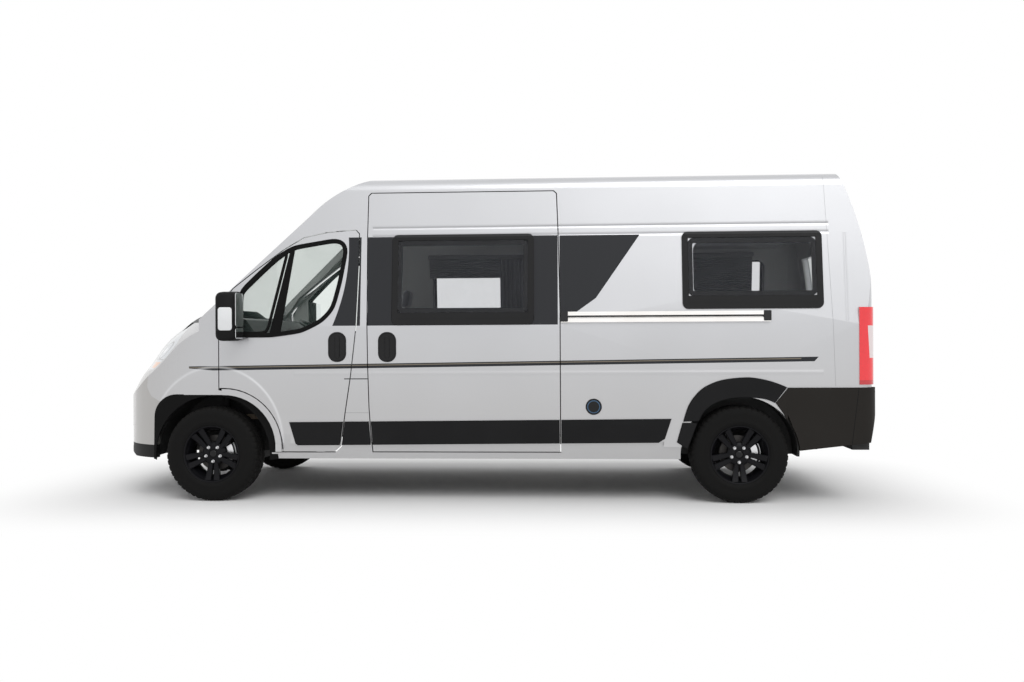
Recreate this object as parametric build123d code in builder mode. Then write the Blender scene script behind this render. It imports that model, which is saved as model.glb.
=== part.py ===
"""High-roof camper van, built as separate panels around one body form.
Millimetres. +X runs rearwards (the nose is at -X), +Z up, the sliding-door side is at -Y.
The origin is on the ground under the middle of the van."""
import math
import os

from build123d import *

# ---- driving sizes -------------------------------------------------------
overall_length = 5998.0
overall_width = 2050.0      # over the side mouldings, without mirrors
overall_height = 2515.0
wheelbase = 4035.0
front_overhang = 948.0
front_track = 1810.0
rear_track = 1790.0
tyre_diameter = 730.0
tyre_width = 225.0
rim_flange_diameter = 441.0
mirror_span = 2508.0
wall = 60.0                 # whole thickness of a side, door or roof
front_panel = 30.0          # bonnet, wings and bumper skin
door_skin = 9.0             # outer layer of a hinged door, set forward of its body
gap = 7.5                   # shut line round every opening panel
inner_setback = 14.0        # extra room round the inner layer of a hinged door
moulding = 10.0             # how far side mouldings stand out of the skin
glass = 5.0

# ---- positions that follow from them ---------------------------------------
nose_x = -overall_length / 2
tail_x = overall_length / 2
front_axle_x = nose_x + front_overhang
rear_axle_x = front_axle_x + wheelbase
axle_z = tyre_diameter / 2
half = overall_width / 2 - moulding
front_wheel_y = front_track / 2
rear_wheel_y = rear_track / 2
front_arch_r = axle_z + 92.0
rear_arch_r = axle_z + 75.0
arch_depth = front_wheel_y - 350.0      # how far in the steered wheels' housings reach
rear_arch_depth = rear_wheel_y - tyre_width / 2 - 45.0

# body section, half width against height
sill_z = 330.0
sill_half = half - 38.0
rocker_z = 520.0
belt_z = 1345.0
eaves_z = overall_height - 25.0
eaves_half = half - 135.0
roof_split_z = overall_height - 108.0
floor_z = 600.0
floor_thick = 45.0
cowl_z = 1385.0

# tail
door_face_x = tail_x - 27.0
lean_start_z = 1400.0
lean_radius = 2720.0
rear_corner = 100.0
roof_corner = 110.0

# nose, turned about two upright lines so it bows across the van
screen_radius = 3600.0
bonnet_radius = 1700.0
screen_axis_x = nose_x + screen_radius
bonnet_axis_x = nose_x + bonnet_radius
roof_start_x = front_axle_x + 1171.0
screen_top = (front_axle_x + 581.0, overall_height - 280.0)
screen_foot = (front_axle_x - 275.0, 1405.0)

# doors and windows, from the axle they belong to
cab_door_front = front_axle_x + 61.0
cab_door_low = 385.0
cab_door_arch_r = front_arch_r + 46.0
sliding_front = front_axle_x + 1226.0
sliding_rear = front_axle_x + 2690.0
sliding_low = 386.0
sliding_high = overall_height - 139.0
rear_door_half = 872.0
rear_door_low = 560.0
rear_door_high = roof_split_z - 20.0
window_low = 1354.0
window_high = 2047.0

bonnet_half = 700.0
bonnet_rear = front_axle_x - 352.0
screen_low = 1446.0
kingpin_y = 775.0
rack_x = front_axle_x + 150.0

os.makedirs("parts", exist_ok=True)


def turned(profile_axis_x, points, curve):
    """A nose form: a half profile turned about the upright line at profile_axis_x."""
    with BuildPart() as body:
        with BuildSketch(Plane.XZ):
            with BuildLine():
                if curve:
                    Spline(*points)
                else:
                    Polyline(*points)
                end, start = points[-1], points[0]
                Polyline(end, (end[0], -600), (profile_axis_x, -600),
                         (profile_axis_x, start[1]), start)
            make_face()
        revolve(axis=Axis((profile_axis_x, 0, 0), (0, 0, 1)), revolution_arc=360)
    return body.part


def screen_form():
    with BuildPart() as body:
        with BuildSketch(Plane.XZ):
            with BuildLine():
                brow = ThreePointArc(
                    (roof_start_x, overall_height + 2),
                    (roof_start_x - 310, overall_height - 75),
                    screen_top,
                )
                Polyline(brow @ 1, screen_foot, (screen_foot[0], -600), (screen_axis_x, -600),
                         (screen_axis_x, overall_height + 400),
                         (roof_start_x, overall_height + 400), brow @ 0)
            make_face()
        revolve(axis=Axis((screen_axis_x, 0, 0), (0, 0, 1)), revolution_arc=360)
    return body.part


def nose_form():
    """Windscreen, bonnet and bumper shapes joined to a plain block behind the cab."""
    bonnet_curve = [
        (front_axle_x - 249, 1480), (front_axle_x - 421, 1420), (front_axle_x - 529, 1338),
        (front_axle_x - 633, 1248), (front_axle_x - 740, 1100), (nose_x + 160, 1028),
        (nose_x + 110, 960), (nose_x + 66, 880), (nose_x + 26, 790), (nose_x - 4, 680),
        (nose_x - 16, 560), (nose_x, 420), (nose_x + 49, 330), (nose_x + 129, 270),
    ]
    rear = Pos(screen_axis_x + 2100 - 900, 0, 1500) * Box(4200, 3000, 4200)
    return screen_form() + turned(bonnet_axis_x, bonnet_curve, True) + rear


def body_form(inset, shaped_nose):
    """The van's outside, or the same shape drawn in by inset with its underside left open."""
    drop = 400.0 if inset else 0.0
    flare = (half - sill_half) / (rocker_z - sill_z) * drop
    with BuildPart() as body:
        with BuildSketch(Plane.YZ.offset(nose_x)) as section:
            with BuildLine():
                Polyline((0, sill_z - drop), (sill_half - flare, sill_z - drop),
                         (half, rocker_z), (half, belt_z), (eaves_half, eaves_z))
                ThreePointArc((eaves_half, eaves_z),
                              (0.5 * eaves_half, overall_height - 0.25 * (overall_height - eaves_z)),
                              (0, overall_height))
                mirror(about=Plane.YZ)
            make_face()
            fillet([v for v in section.vertices() if abs(v.Y - eaves_z) < 1], roof_corner)
            if inset:
                offset(amount=-inset, kind=Kind.INTERSECTION, mode=Mode.REPLACE)
        extrude(amount=overall_length)
        reach = 1300.0
        def lean(height):
            return door_face_x - (lean_radius - math.sqrt(lean_radius**2 - height**2))
        with BuildSketch(Plane.XZ.offset(-1500)):
            with BuildLine():
                ThreePointArc((door_face_x, lean_start_z), (lean(reach / 2), lean_start_z + reach / 2),
                              (lean(reach), lean_start_z + reach))
                Polyline((lean(reach), lean_start_z + reach), (nose_x - 500, lean_start_z + reach),
                         (nose_x - 500, -600), (door_face_x, -600), (door_face_x, lean_start_z))
            make_face()
            if inset:
                offset(amount=-inset, kind=Kind.INTERSECTION, mode=Mode.REPLACE)
        extrude(amount=3000, mode=Mode.INTERSECT)
        # plan: rounded tail corners, cab drawn in towards the nose
        back = door_face_x + 4 - inset
        side = half - inset
        bend = rear_corner - inset
        centre = (door_face_x + 4 - rear_corner, -half + rear_corner)
        with BuildSketch(Plane.XY.offset(-600)):
            with BuildLine():
                Line((back, 0), (back, centre[1]))
                ThreePointArc((back, centre[1]), (centre[0] + 0.7071 * bend, centre[1] - 0.7071 * bend),
                              (centre[0], -side))
                Polyline((centre[0], -side), (front_axle_x + 300, -side),
                         (front_axle_x - 279, 34 - side))
                ThreePointArc((front_axle_x - 279, 34 - side),
                              (nose_x + 339 + 0.65 * inset, -880 + 0.76 * inset),
                              (nose_x + 147 + 0.88 * inset, -600 + 0.47 * inset))
                ThreePointArc((nose_x + 147 + 0.88 * inset, -600 + 0.47 * inset),
                              (nose_x + 39 + 0.97 * inset, -300 + 0.22 * inset), (nose_x + inset, 0))
                mirror(about=Plane.XZ)
            make_face()
        extrude(amount=4000, mode=Mode.INTERSECT)
        add(Pos(inset, 0, -0.4 * inset) * shaped_nose, mode=Mode.INTERSECT)
    return body.part


def side_prism(outline, y_from, y_to):
    """Outline points (x, z) carried across the van from y_from to y_to."""
    low, high = min(y_from, y_to), max(y_from, y_to)
    with BuildPart() as body:
        with BuildSketch(Plane.XZ.offset(-high)):
            with BuildLine():
                Polyline(*outline, close=True)
            make_face()
        extrude(amount=high - low)
    return body.part


def end_prism(outline, x_from, x_to):
    """Outline points (y, z) carried along the van from x_from to x_to."""
    with BuildPart() as body:
        with BuildSketch(Plane.YZ.offset(x_from)):
            with BuildLine():
                Polyline(*outline, close=True)
            make_face()
        extrude(amount=x_to - x_from)
    return body.part


def block(x0, x1, y0, y1, z0, z1):
    return Pos((x0 + x1) / 2, (y0 + y1) / 2, (z0 + z1) / 2) * Box(abs(x1 - x0), abs(y1 - y0), abs(z1 - z0))


def disc(x, z, radius, y_from, y_to):
    """A round bar lying across the van."""
    return Pos(x, (y_from + y_to) / 2, z) * Rot(90, 0, 0) * Cylinder(radius, abs(y_to - y_from))


def rounded_window(x0, x1, z0, z1, radius, y_from, y_to):
    low, high = min(y_from, y_to), max(y_from, y_to)
    with BuildPart() as body:
        with BuildSketch(Plane.XZ.offset(-high)):
            with Locations(((x0 + x1) / 2, (z0 + z1) / 2)):
                RectangleRounded(x1 - x0, z1 - z0, radius)
        extrude(amount=high - low)
    return body.part


def other_side(shape):
    return shape.mirror(Plane.XZ)


def whole(shape):
    """One part, whatever the boolean returned."""
    if isinstance(shape, (list, ShapeList)):
        return Part(children=list(shape)) if len(shape) > 1 else shape[0]
    return shape


def save(shape, name):
    shape.label = name
    export_step(shape, "parts/" + name + ".step")


nose = nose_form()
outer = body_form(0.0, nose)
skin_back = body_form(door_skin, nose)
panel_back = body_form(front_panel, nose)
inner = body_form(wall, nose)
glass_out = body_form(6.0, nose)
glass_in = body_form(6.0 + glass, nose)
shell = outer - inner
outer_layer = outer - skin_back
inner_layer = skin_back - inner
thin_shell = outer - panel_back
pane_layer = glass_out - glass_in

# ---- outlines --------------------------------------------------------------


def cab_door_outline(grow):
    """Side outline of a cab door in (x, z), drawn out by grow."""
    radius = cab_door_arch_r - grow
    front = cab_door_front - grow
    low = cab_door_low - grow
    points = []
    start = math.asin((front - front_axle_x) / radius)
    finish = math.acos((low - axle_z) / radius)
    for step in range(9):
        turn = start + (finish - start) * step / 8
        points.append((front_axle_x + radius * math.sin(turn), axle_z + radius * math.cos(turn)))
    g = grow
    points += [
        (front_axle_x + 958 + g, low),
        (front_axle_x + 1008 + g, 427 - 0.4 * g),
        (front_axle_x + 1043 + g, 685), (front_axle_x + 1086 + g, 966),
        (front_axle_x + 1131 + g, 1348), (front_axle_x + 1145 + g, 1798),
        (front_axle_x + 1143 + g, 2062 + 0.4 * g), (front_axle_x + 1118 + 0.4 * g, 2089 + g),
        (front_axle_x + 900, 2072 + g), (front_axle_x + 714 - 0.3 * g, 2032 + g),
        (front_axle_x + 560 - 0.5 * g, 1941 + 0.9 * g), (front_axle_x + 357 - 0.7 * g, 1791 + 0.8 * g),
        (front_axle_x + 167 - 0.8 * g, 1640 + 0.7 * g),
        (front, 1495 + 0.2 * g),
    ]
    return points


cab_window_outline = [
    (front_axle_x + 228, 1276), (front_axle_x + 475, 1276), (front_axle_x + 711, 1308),
    (front_axle_x + 865, 1382), (front_axle_x + 955, 1481), (front_axle_x + 1007, 1683),
    (front_axle_x + 1050, 1934), (front_axle_x + 1022, 1996), (front_axle_x + 955, 2017),
    (front_axle_x + 631, 1964), (front_axle_x + 495, 1882), (front_axle_x + 360, 1757),
    (front_axle_x + 225, 1622),
]


def rear_opening_outline(grow, side):
    """One rear door leaf in (y, z)."""
    edge = rear_door_half + grow
    return [
        (side * (gap / 2 - grow if grow == 0 else -1), rear_door_low - grow),
        (side * edge, rear_door_low - grow), (side * edge, belt_z),
        (side * (edge - 62), rear_door_high - 60 + 0.5 * grow),
        (side * (edge - 112), rear_door_high + grow),
        (side * (gap / 2 - grow if grow == 0 else -1), rear_door_high + grow),
    ]


sliding_outline = [
    (sliding_front + 33, sliding_low), (sliding_front + 10, 717), (sliding_front, 1065),
    (sliding_front - 11, 2050), (sliding_front - 8, sliding_high - 20),
    (sliding_front + 12, sliding_high), (sliding_rear - 44, sliding_high),
    (sliding_rear - 24, sliding_high - 20), (sliding_rear - 12, 2035), (sliding_rear, 1446),
    (sliding_rear, sliding_low),
]
sliding_opening = [
    (sliding_front + 33 - gap, sliding_low - gap), (sliding_front + 10 - gap, 717),
    (sliding_front - gap, 1065), (sliding_front - 11 - gap, 2050),
    (sliding_front - 8 - gap, sliding_high - 20 + gap / 2), (sliding_front + 12 - gap / 2, sliding_high + gap),
    (sliding_rear - 44 + gap / 2, sliding_high + gap), (sliding_rear - 24 + gap, sliding_high - 20 + gap / 2),
    (sliding_rear - 12 + gap, 2035), (sliding_rear + gap, 1446), (sliding_rear + gap, sliding_low - gap),
]

# the windscreen seen from the front, in (y, z)
screen_outline = [(-875, screen_low), (875, screen_low), (842, 1640), (775, 2215), (-775, 2215), (-842, 1640)]

# side outline where bumper meets wing
bumper_seam = [
    (front_axle_x - 383, 747), (front_axle_x - 505, 811), (front_axle_x - 548, 878),
    (front_axle_x - 535, 997),
]
headlamp_outline = [
    (front_axle_x - 290, 1345), (front_axle_x - 301, 1220), (front_axle_x - 354, 1135),
    (front_axle_x - 485, 1033), (front_axle_x - 535, 1003), (front_axle_x - 900, 1003),
    (front_axle_x - 900, 1500), (front_axle_x - 300, 1500),
]
bonnet_front_x = nose_x + 190
bonnet_outline = [
    (bonnet_rear, 1600), (bonnet_rear, 1250), (bonnet_rear - 90, 1130),
    (bonnet_front_x + 170, 880), (bonnet_front_x + 10, 1010), (bonnet_front_x - 130, 1240),
    (bonnet_front_x - 130, 1600),
]

# window places: name, x from, x to, side
kitchen_x = (front_axle_x + 1408, front_axle_x + 2496)
lounge_x = (rear_axle_x - 421, rear_axle_x + 622)

# ---- body panels -------------------------------------------------------------
left = block(nose_x - 10, tail_x + 10, -1400, 0, -100, roof_split_z)
rear_cut = end_prism(
    [(-(rear_door_half + gap), -100), (rear_door_half + gap, -100), (rear_door_half + gap, belt_z),
     (rear_door_half + gap - 62, rear_door_high - 60 + gap / 2), (rear_door_half + gap - 112, rear_door_high + gap),
     (-(rear_door_half + gap - 112), rear_door_high + gap), (-(rear_door_half + gap - 62), rear_door_high - 60 + gap / 2),
     (-(rear_door_half + gap), belt_z)], door_face_x - 900, tail_x + 100)
side_zone = side_prism(
    [(front_axle_x + 866, roof_split_z), (front_axle_x + 866, cab_door_low - gap - 1),
     (front_axle_x + front_arch_r + 10, cab_door_low - gap - 1),
     (front_axle_x + front_arch_r + 10, 200), (tail_x + 10, 200), (tail_x + 10, roof_split_z)],
    -1400, 1400)
rear_arch = disc(rear_axle_x, axle_z, rear_arch_r, -1400, 1400)
bumper_zone = block(rear_axle_x + 349, tail_x + 50, -1400, 1400, 100, 870)
lamp_z = (892.0, 1468.0)


def lamp_block(grow, side):
    with BuildPart() as lamp:
        with Locations((door_face_x + 9 - 60, side * (rear_door_half + gap + 12 + (half + 7 - rear_door_half - gap - 12) / 2),
                        (lamp_z[0] + lamp_z[1]) / 2)):
            Box(124 + grow, half + 7 - rear_door_half - gap - 12, lamp_z[1] - lamp_z[0])
        outer_edges = [e for e in lamp.edges()
                       if e.bounding_box().size.Z > 300 and e.center().X > door_face_x - 20
                       and abs(e.center().Y) > half - 20]
        fillet(outer_edges, 88)
    return lamp.part


lamps = lamp_block(0, 1) + lamp_block(0, -1)
kitchen_hole = rounded_window(kitchen_x[0] + 47, kitchen_x[1] - 61, window_low + 91, window_high - 58, 70, -1300, 1300)
lounge_hole = rounded_window(lounge_x[0] + 84, lounge_x[1] - 47, window_low + 107 + 96, window_high - 71, 70, -1300, 1300)
side_wall = (shell & side_zone) - rear_cut - rear_arch - bumper_zone - lamps - lounge_hole
side_wall = side_wall - side_prism(cab_door_outline(gap), -1400, 1400)
side_left = side_wall & block(nose_x, tail_x, -1400, -400, 0, roof_split_z)
side_right = side_wall & block(nose_x, tail_x, 400, 1400, 0, roof_split_z)
side_left = side_left - side_prism(sliding_opening, -1400, 0)
side_right = side_right - kitchen_hole

# side mouldings, standing out of the skin
moulding_left = block(sliding_rear + gap + 3, rear_axle_x - 510, -half - moulding, -half + 2, 466, 625)
clad = disc(rear_axle_x, axle_z, rear_arch_r + 135, half - 2, half + moulding) - disc(
    rear_axle_x, axle_z, rear_arch_r, half - 5, half + 20)
clad = clad - block(0, tail_x, 0, 1400, -600, axle_z + 60) - bumper_zone
clad_left = other_side(clad)
moulding_right = block(front_axle_x + 1150, rear_axle_x - 510, half - 2, half + moulding, 466, 625)
leaves = Part()
for leaf_z in (720, 1300):
    leaves = leaves + block(door_face_x - 48, door_face_x - 18, rear_door_half - inner_setback + 0.3,
                            rear_door_half + gap + 2, leaf_z - 35, leaf_z + 35)
save(side_left + moulding_left + clad_left + other_side(leaves), "side_left")
save(side_right + moulding_right + clad + leaves, "side_right")

rooflight_xs = (front_axle_x + 1900, rear_axle_x - 250)
rooflight_size = 400.0
roof = shell & block(nose_x, tail_x, -1400, 1400, roof_split_z, overall_height + 50)
for light_x in rooflight_xs:
    roof = roof - block(light_x - rooflight_size / 2, light_x + rooflight_size / 2,
                        -rooflight_size / 2, rooflight_size / 2, roof_split_z, overall_height + 100)
save(roof, "roof")

rooflights = Part()
for light_x in rooflight_xs:
    with BuildPart() as rooflight:
        with Locations((light_x, 0, overall_height + 8)):
            Box(rooflight_size + 60, rooflight_size + 60, 36)
        fillet(rooflight.edges().filter_by(Axis.Z), 40)
        with Locations((light_x, 0, overall_height - 20)):
            Box(rooflight_size - 2, rooflight_size - 2, 70)
        with Locations((light_x, 0, overall_height - 30)):
            Box(rooflight_size - 30, rooflight_size - 30, 66, mode=Mode.SUBTRACT)
    kerb_hole = block(light_x - rooflight_size / 2, light_x + rooflight_size / 2,
                      -rooflight_size / 2, rooflight_size / 2, 0, 3000)
    rooflights = rooflights + (rooflight.part - (outer - kerb_hole))
save(rooflights, "rooflights")

screen_zone = end_prism(screen_outline, nose_x, front_axle_x + 900)
frame_zone = side_prism([(front_axle_x - 500, cowl_z), (front_axle_x + 866, cowl_z),
                         (front_axle_x + 866, roof_split_z), (front_axle_x - 500, roof_split_z)], -1400, 1400)
bonnet_room = side_prism([(x - (gap if x < bonnet_front_x else -gap if x >= bonnet_rear else 0), z)
                          for x, z in bonnet_outline], -bonnet_half - gap, bonnet_half + gap)
screen_frame = (shell & frame_zone) - screen_zone - side_prism(cab_door_outline(gap), -1400, 1400)
scuttle_zone = block(bonnet_rear + gap, front_axle_x - 130, -1400, 1400, cowl_z, screen_low + 60)
screen_side = screen_form()
screen_frame = screen_frame - block(front_axle_x - 600, front_axle_x - 130, -1400, 1400, 1300, screen_low)
save(screen_frame, "windscreen_frame")
screen_glass = (pane_layer & screen_zone & frame_zone) & (Pos(6, 0, -2.4) * screen_side)
save((thin_shell & scuttle_zone) - bonnet_room - screen_glass - (Pos(1, 0, 0) * screen_side & block(
    nose_x, front_axle_x, -1400, 1400, screen_low, 2000)), "scuttle")
save(screen_glass, "windscreen")

# ---- nose --------------------------------------------------------------------
seam_back = front_axle_x - 383
wing_low = 330.0
front_arch = disc(front_axle_x, axle_z, front_arch_r, -1400, 1400)
lamp_prism = side_prism(headlamp_outline, -1400, -(bonnet_half + gap)) + side_prism(
    headlamp_outline, bonnet_half + gap, 1400)
bumper_region = side_prism(
    [(nose_x - 50, 1000), (front_axle_x - 535, 1000)] + bumper_seam[::-1]
    + [(front_axle_x - 383, 60), (nose_x - 50, 60)], -1400, 1400)
wing_region = side_prism(
    [(nose_x + 100, cowl_z), (cab_door_front - gap, cowl_z), (cab_door_front - gap, 700),
     (nose_x + 100, 700)], -1400, 1400) + disc(front_axle_x, axle_z, cab_door_arch_r - gap, -1400, 1400)
wing = (thin_shell & wing_region) - front_arch - bumper_region - bonnet_room - lamp_prism
wing = wing - block(nose_x, front_axle_x, -1400, 1400, 0, axle_z + 200) - block(
    nose_x, tail_x, -1400, 1400, 0, cab_door_low - gap)
wing = wing - block(nose_x, tail_x, -bonnet_half, bonnet_half, 0, 2000)
save(wing & block(nose_x, tail_x, -1400, 0, 0, 2000), "wing_left")
save(wing & block(nose_x, tail_x, 0, 1400, 0, 2000), "wing_right")

bonnet = thin_shell & side_prism(bonnet_outline, -bonnet_half, bonnet_half)
save(bonnet, "bonnet")

headlamp = (outer - inner) & lamp_prism
save(headlamp, "headlamps")

grille_zone = block(nose_x - 50, nose_x + 700, -560, 560, 800, 1001)
intake_zone = block(nose_x - 50, nose_x + 700, -720, 720, 395, 560)
bumper_solid = (outer - inner) & bumper_region
save(bumper_solid - bonnet_room - grille_zone - intake_zone - front_arch, "bumper_front")
grille_shell = skin_back - inner
save(((grille_shell & grille_zone & bumper_region) - bonnet_room)
     + (grille_shell & intake_zone & bumper_region), "grille")

# ---- floor, front housing ------------------------------------------------------
firewall_x = front_axle_x + 20
inner_y = half - wall - 5
with BuildPart() as floor:
    with Locations(((firewall_x + tail_x - 110) / 2, 0, floor_z - floor_thick / 2)):
        Box(tail_x - 110 - firewall_x, 2 * inner_y, floor_thick)
    for rail_y in (-430, 430):
        with Locations(((front_axle_x + 700 + tail_x - 130) / 2, rail_y, floor_z - floor_thick - 55)):
            Box(tail_x - 130 - front_axle_x - 700, 90, 110)
    for beam_x in (front_axle_x + 740, (front_axle_x + rear_axle_x) / 2, rear_axle_x - 640, rear_axle_x + 640):
        with Locations((beam_x, 0, floor_z - floor_thick - 40)):
            Box(80, 2 * inner_y, 80)
housing_outer = disc(rear_axle_x, axle_z, rear_arch_r + 18, rear_arch_depth, inner_y) + disc(
    rear_axle_x, axle_z, rear_arch_r + 18, -rear_arch_depth, -inner_y)
housing_inner = disc(rear_axle_x, axle_z, rear_arch_r, rear_arch_depth + 18, 1400) + disc(
    rear_axle_x, axle_z, rear_arch_r, -rear_arch_depth - 18, -1400)
front_housing_outer = disc(front_axle_x, axle_z, front_arch_r + 18, arch_depth, inner_y) + disc(
    front_axle_x, axle_z, front_arch_r + 18, -arch_depth, -inner_y)
front_housing_inner = disc(front_axle_x, axle_z, front_arch_r, arch_depth + 18, 1400) + disc(
    front_axle_x, axle_z, front_arch_r, -arch_depth - 18, -1400)
low_cut = block(nose_x, tail_x, -1400, 1400, -200, axle_z - 20)
axle_slot = block(rear_axle_x - 110, rear_axle_x + 110, -900, 900, 0, 540)
floor_part = ((floor.part + (housing_outer - low_cut - axle_slot)) & inner) - housing_inner - front_housing_outer
floor_part = floor_part - block(firewall_x, front_axle_x + 1160, -1400, -inner_y + 28, 0, 2000) - block(
    firewall_x, front_axle_x + 1160, inner_y - 28, 1400, 0, 2000)

bulkhead = block(firewall_x - 20, firewall_x, -half, half, floor_z - floor_thick, cowl_z)
cowl_plate = block(front_axle_x - 300, firewall_x, -inner_y + 40, inner_y - 40, cowl_z - 20, cowl_z) & inner
door_leaf_x = cab_door_front + inner_setback - 0.3
towers = block(front_axle_x - 110, front_axle_x + 110, -700, -500, 800, 1000) + block(
    front_axle_x - 110, front_axle_x + 110, 500, 700, 800, 1000)
chassis_legs = block(nose_x + 170, firewall_x, -500, -410, 470, 590) + block(nose_x + 170, firewall_x, 410, 500, 470, 590)
front_inner = (bulkhead + cowl_plate + towers + chassis_legs + (front_housing_outer - low_cut)) - front_housing_inner
behind = block(cab_door_front - gap, rear_axle_x, -1400, 1400, 0, 2000)
front_inner = ((front_inner & panel_back) - behind) + (front_inner & inner & behind)
front_inner = front_inner - bumper_solid
front_inner = front_inner - disc(rack_x, 385, 45, -800, 800)
for side in (-1, 1):
    for leaf_z in (940, 1250):
        front_inner = front_inner + block(firewall_x - 1, door_leaf_x, side * (half - 80), side * (half - 58), leaf_z - 32, leaf_z + 32)
front_inner = front_inner + block(nose_x + 225, nose_x + 255, -500, 500, 470, 590)
front_inner = front_inner + block(nose_x + 255, nose_x + 305, -430, 430, 440, 850)
save(block(nose_x + 330, front_axle_x - 120, -330, 380, 430, 980), "engine")

# ---- doors ---------------------------------------------------------------------
def cab_door(side):
    reach = (0, side * 1400)
    skin = outer_layer & side_prism(cab_door_outline(0), *reach)
    body = inner_layer & side_prism(cab_door_outline(-inner_setback), *reach)
    hole = side_prism(cab_window_outline, *reach)
    low = block(front_axle_x + 620, front_axle_x + 1000, side * (half - 2), side * (half + moulding), 448, 606)
    return (skin + body) - hole + low


def cab_glass(side):
    return pane_layer & side_prism(
        [(x + (4 if x < front_axle_x + 640 else -4) * -1, z + (6 if z > 1650 else -6)) for x, z in cab_window_outline],
        0, side * 1400)


for side, name in ((-1, "left"), (1, "right")):
    door = cab_door(side)
    pane = cab_glass(side)
    save(door - pane, "cab_door_" + name)
    save(pane, "cab_glass_" + name)

mirror_x = front_axle_x + 192
mirror_y = half + 62
for side, name in ((-1, "left"), (1, "right")):
    with BuildPart() as mirror_body:
        with Locations((mirror_x, side * (mirror_span / 2 - 112), 1428)):
            Box(150, 224, 386)
        fillet(mirror_body.edges().filter_by(Axis.Y), 40)
        fillet(mirror_body.edges().filter_by(Axis.Z), 25)
        with Locations((mirror_x - 62, side * (half - 20 + 75), 1330)):
            Box(70, 210, 46)
        with Locations((mirror_x - 62, side * (half - 20 + 75), 1500)):
            Box(60, 210, 36)
    save(mirror_body.part - outer, "mirror_" + name)

sliding_skin = shell & side_prism(sliding_outline, -1400, 0)
sliding_moulding = block(sliding_front + 18, sliding_rear - 3, -half - moulding, -half + 2, 460, 620)
window_frame_left = rounded_window(kitchen_x[0], kitchen_x[1], window_low, window_high, 90, -1300, 0)
save((sliding_skin - kitchen_hole) + (sliding_moulding & side_prism(sliding_outline, -1400, 0)), "sliding_door")


def side_window(x0, x1, z0, z1, hole, side):
    """A framed pane: a thin rim standing out of the skin and a pane filling the hole."""
    proud = Pos(0, side * 14, 0) * outer
    rim = (proud - outer) & rounded_window(x0, x1, z0, z1, 85, side * 600, side * 1300)
    plug = (proud - (Pos(0, -side * 8, 0) * outer)) & hole & block(nose_x, tail_x, side * 600, side * 1300, 0, 3000)
    return rim + plug


lounge_low = window_low + 107
save(side_window(*kitchen_x, window_low, window_high, kitchen_hole, -1), "window_sliding_door")
save(side_window(*kitchen_x, window_low, window_high, kitchen_hole, 1)
     + side_window(*lounge_x, lounge_low, window_high, lounge_hole, 1)
     + side_window(*lounge_x, lounge_low, window_high, lounge_hole, -1), "side_windows")

# rear doors, glass, lamps, bumper
rear_shell_skin = outer_layer & block(door_face_x - 700, tail_x + 10, -1400, 1400, 0, 3000)
rear_shell_body = inner_layer & block(door_face_x - 700, tail_x + 10, -1400, 1400, 0, 3000)
rear_glass_z = (1420.0, 1960.0)
lamp_parts = []


def leaf(side, grow):
    edge = rear_door_half - grow
    near = gap / 2 + grow
    return end_prism([(side * near, rear_door_low + grow), (side * edge, rear_door_low + grow),
                      (side * edge, belt_z), (side * (edge - 62), rear_door_high - 60),
                      (side * (edge - 112), rear_door_high - grow), (side * near, rear_door_high - grow)],
                     door_face_x - 600, tail_x + 100)


for side, name in ((-1, "left"), (1, "right")):
    door = (rear_shell_skin & leaf(side, 0)) + (rear_shell_body & leaf(side, inner_setback))
    opening = end_prism([(side * 150, rear_glass_z[0]), (side * 720, rear_glass_z[0]),
                         (side * 690, rear_glass_z[1]), (side * 150, rear_glass_z[1])],
                        door_face_x - 600, tail_x + 100)
    pane = pane_layer & block(door_face_x - 700, tail_x, -1400, 1400, 0, 3000) & end_prism(
        [(side * 144, rear_glass_z[0] - 6), (side * 726, rear_glass_z[0] - 6),
         (side * 696, rear_glass_z[1] + 6), (side * 144, rear_glass_z[1] + 6)],
        door_face_x - 600, tail_x + 100)
    save(door - opening - pane, "rear_door_" + name)
    save(pane, "rear_glass_" + name)
    lamp_parts.append(lamp_block(0, side) - block(door_face_x - 60, door_face_x + 40, side * 1, side * (rear_door_half + gap + 12), 0, 3000))
save(lamp_parts[0] + lamp_parts[1], "rear_lamps")

with BuildPart() as rear_bumper:
    depth = tail_x - (rear_axle_x + 349)
    with Locations(((rear_axle_x + 349 + tail_x) / 2, 0, (400 + 870) / 2)):
        Box(depth, overall_width, 470)
    fillet([e for e in rear_bumper.edges().filter_by(Axis.Z) if e.center().X > door_face_x], 110)
    with Locations(((rear_axle_x + 349 + tail_x) / 2 - 45, 0, 600)):
        Box(depth, overall_width - 90, 800, mode=Mode.SUBTRACT)
    with Locations((tail_x - 300, 0, 870)):
        Box(1000, 2 * (rear_door_half + 40), 2 * (870 - rear_door_low + gap + 3), mode=Mode.SUBTRACT)
    with Locations((tail_x - 62, 0, rear_door_low - gap - 23)):
        Box(124, 2 * (rear_door_half + 60), 40)
save((rear_bumper.part - rear_arch) - (rear_lamps_room := lamps), "rear_bumper")
rear_member = block(tail_x - 175, tail_x - 50, -inner_y, inner_y, 400, rear_door_low - gap - 45)
floor_part = floor_part + rear_member
save(floor_part, "floor")

rail = block(sliding_rear + gap + 2, rear_axle_x + 225, -half - 20, -half + 2, 1366, 1446)
rail = rail - block(sliding_rear, rear_axle_x + 400, -half - 21, -half - 8, 1396, 1416)
save(rail - outer, "slide_rail")

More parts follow.
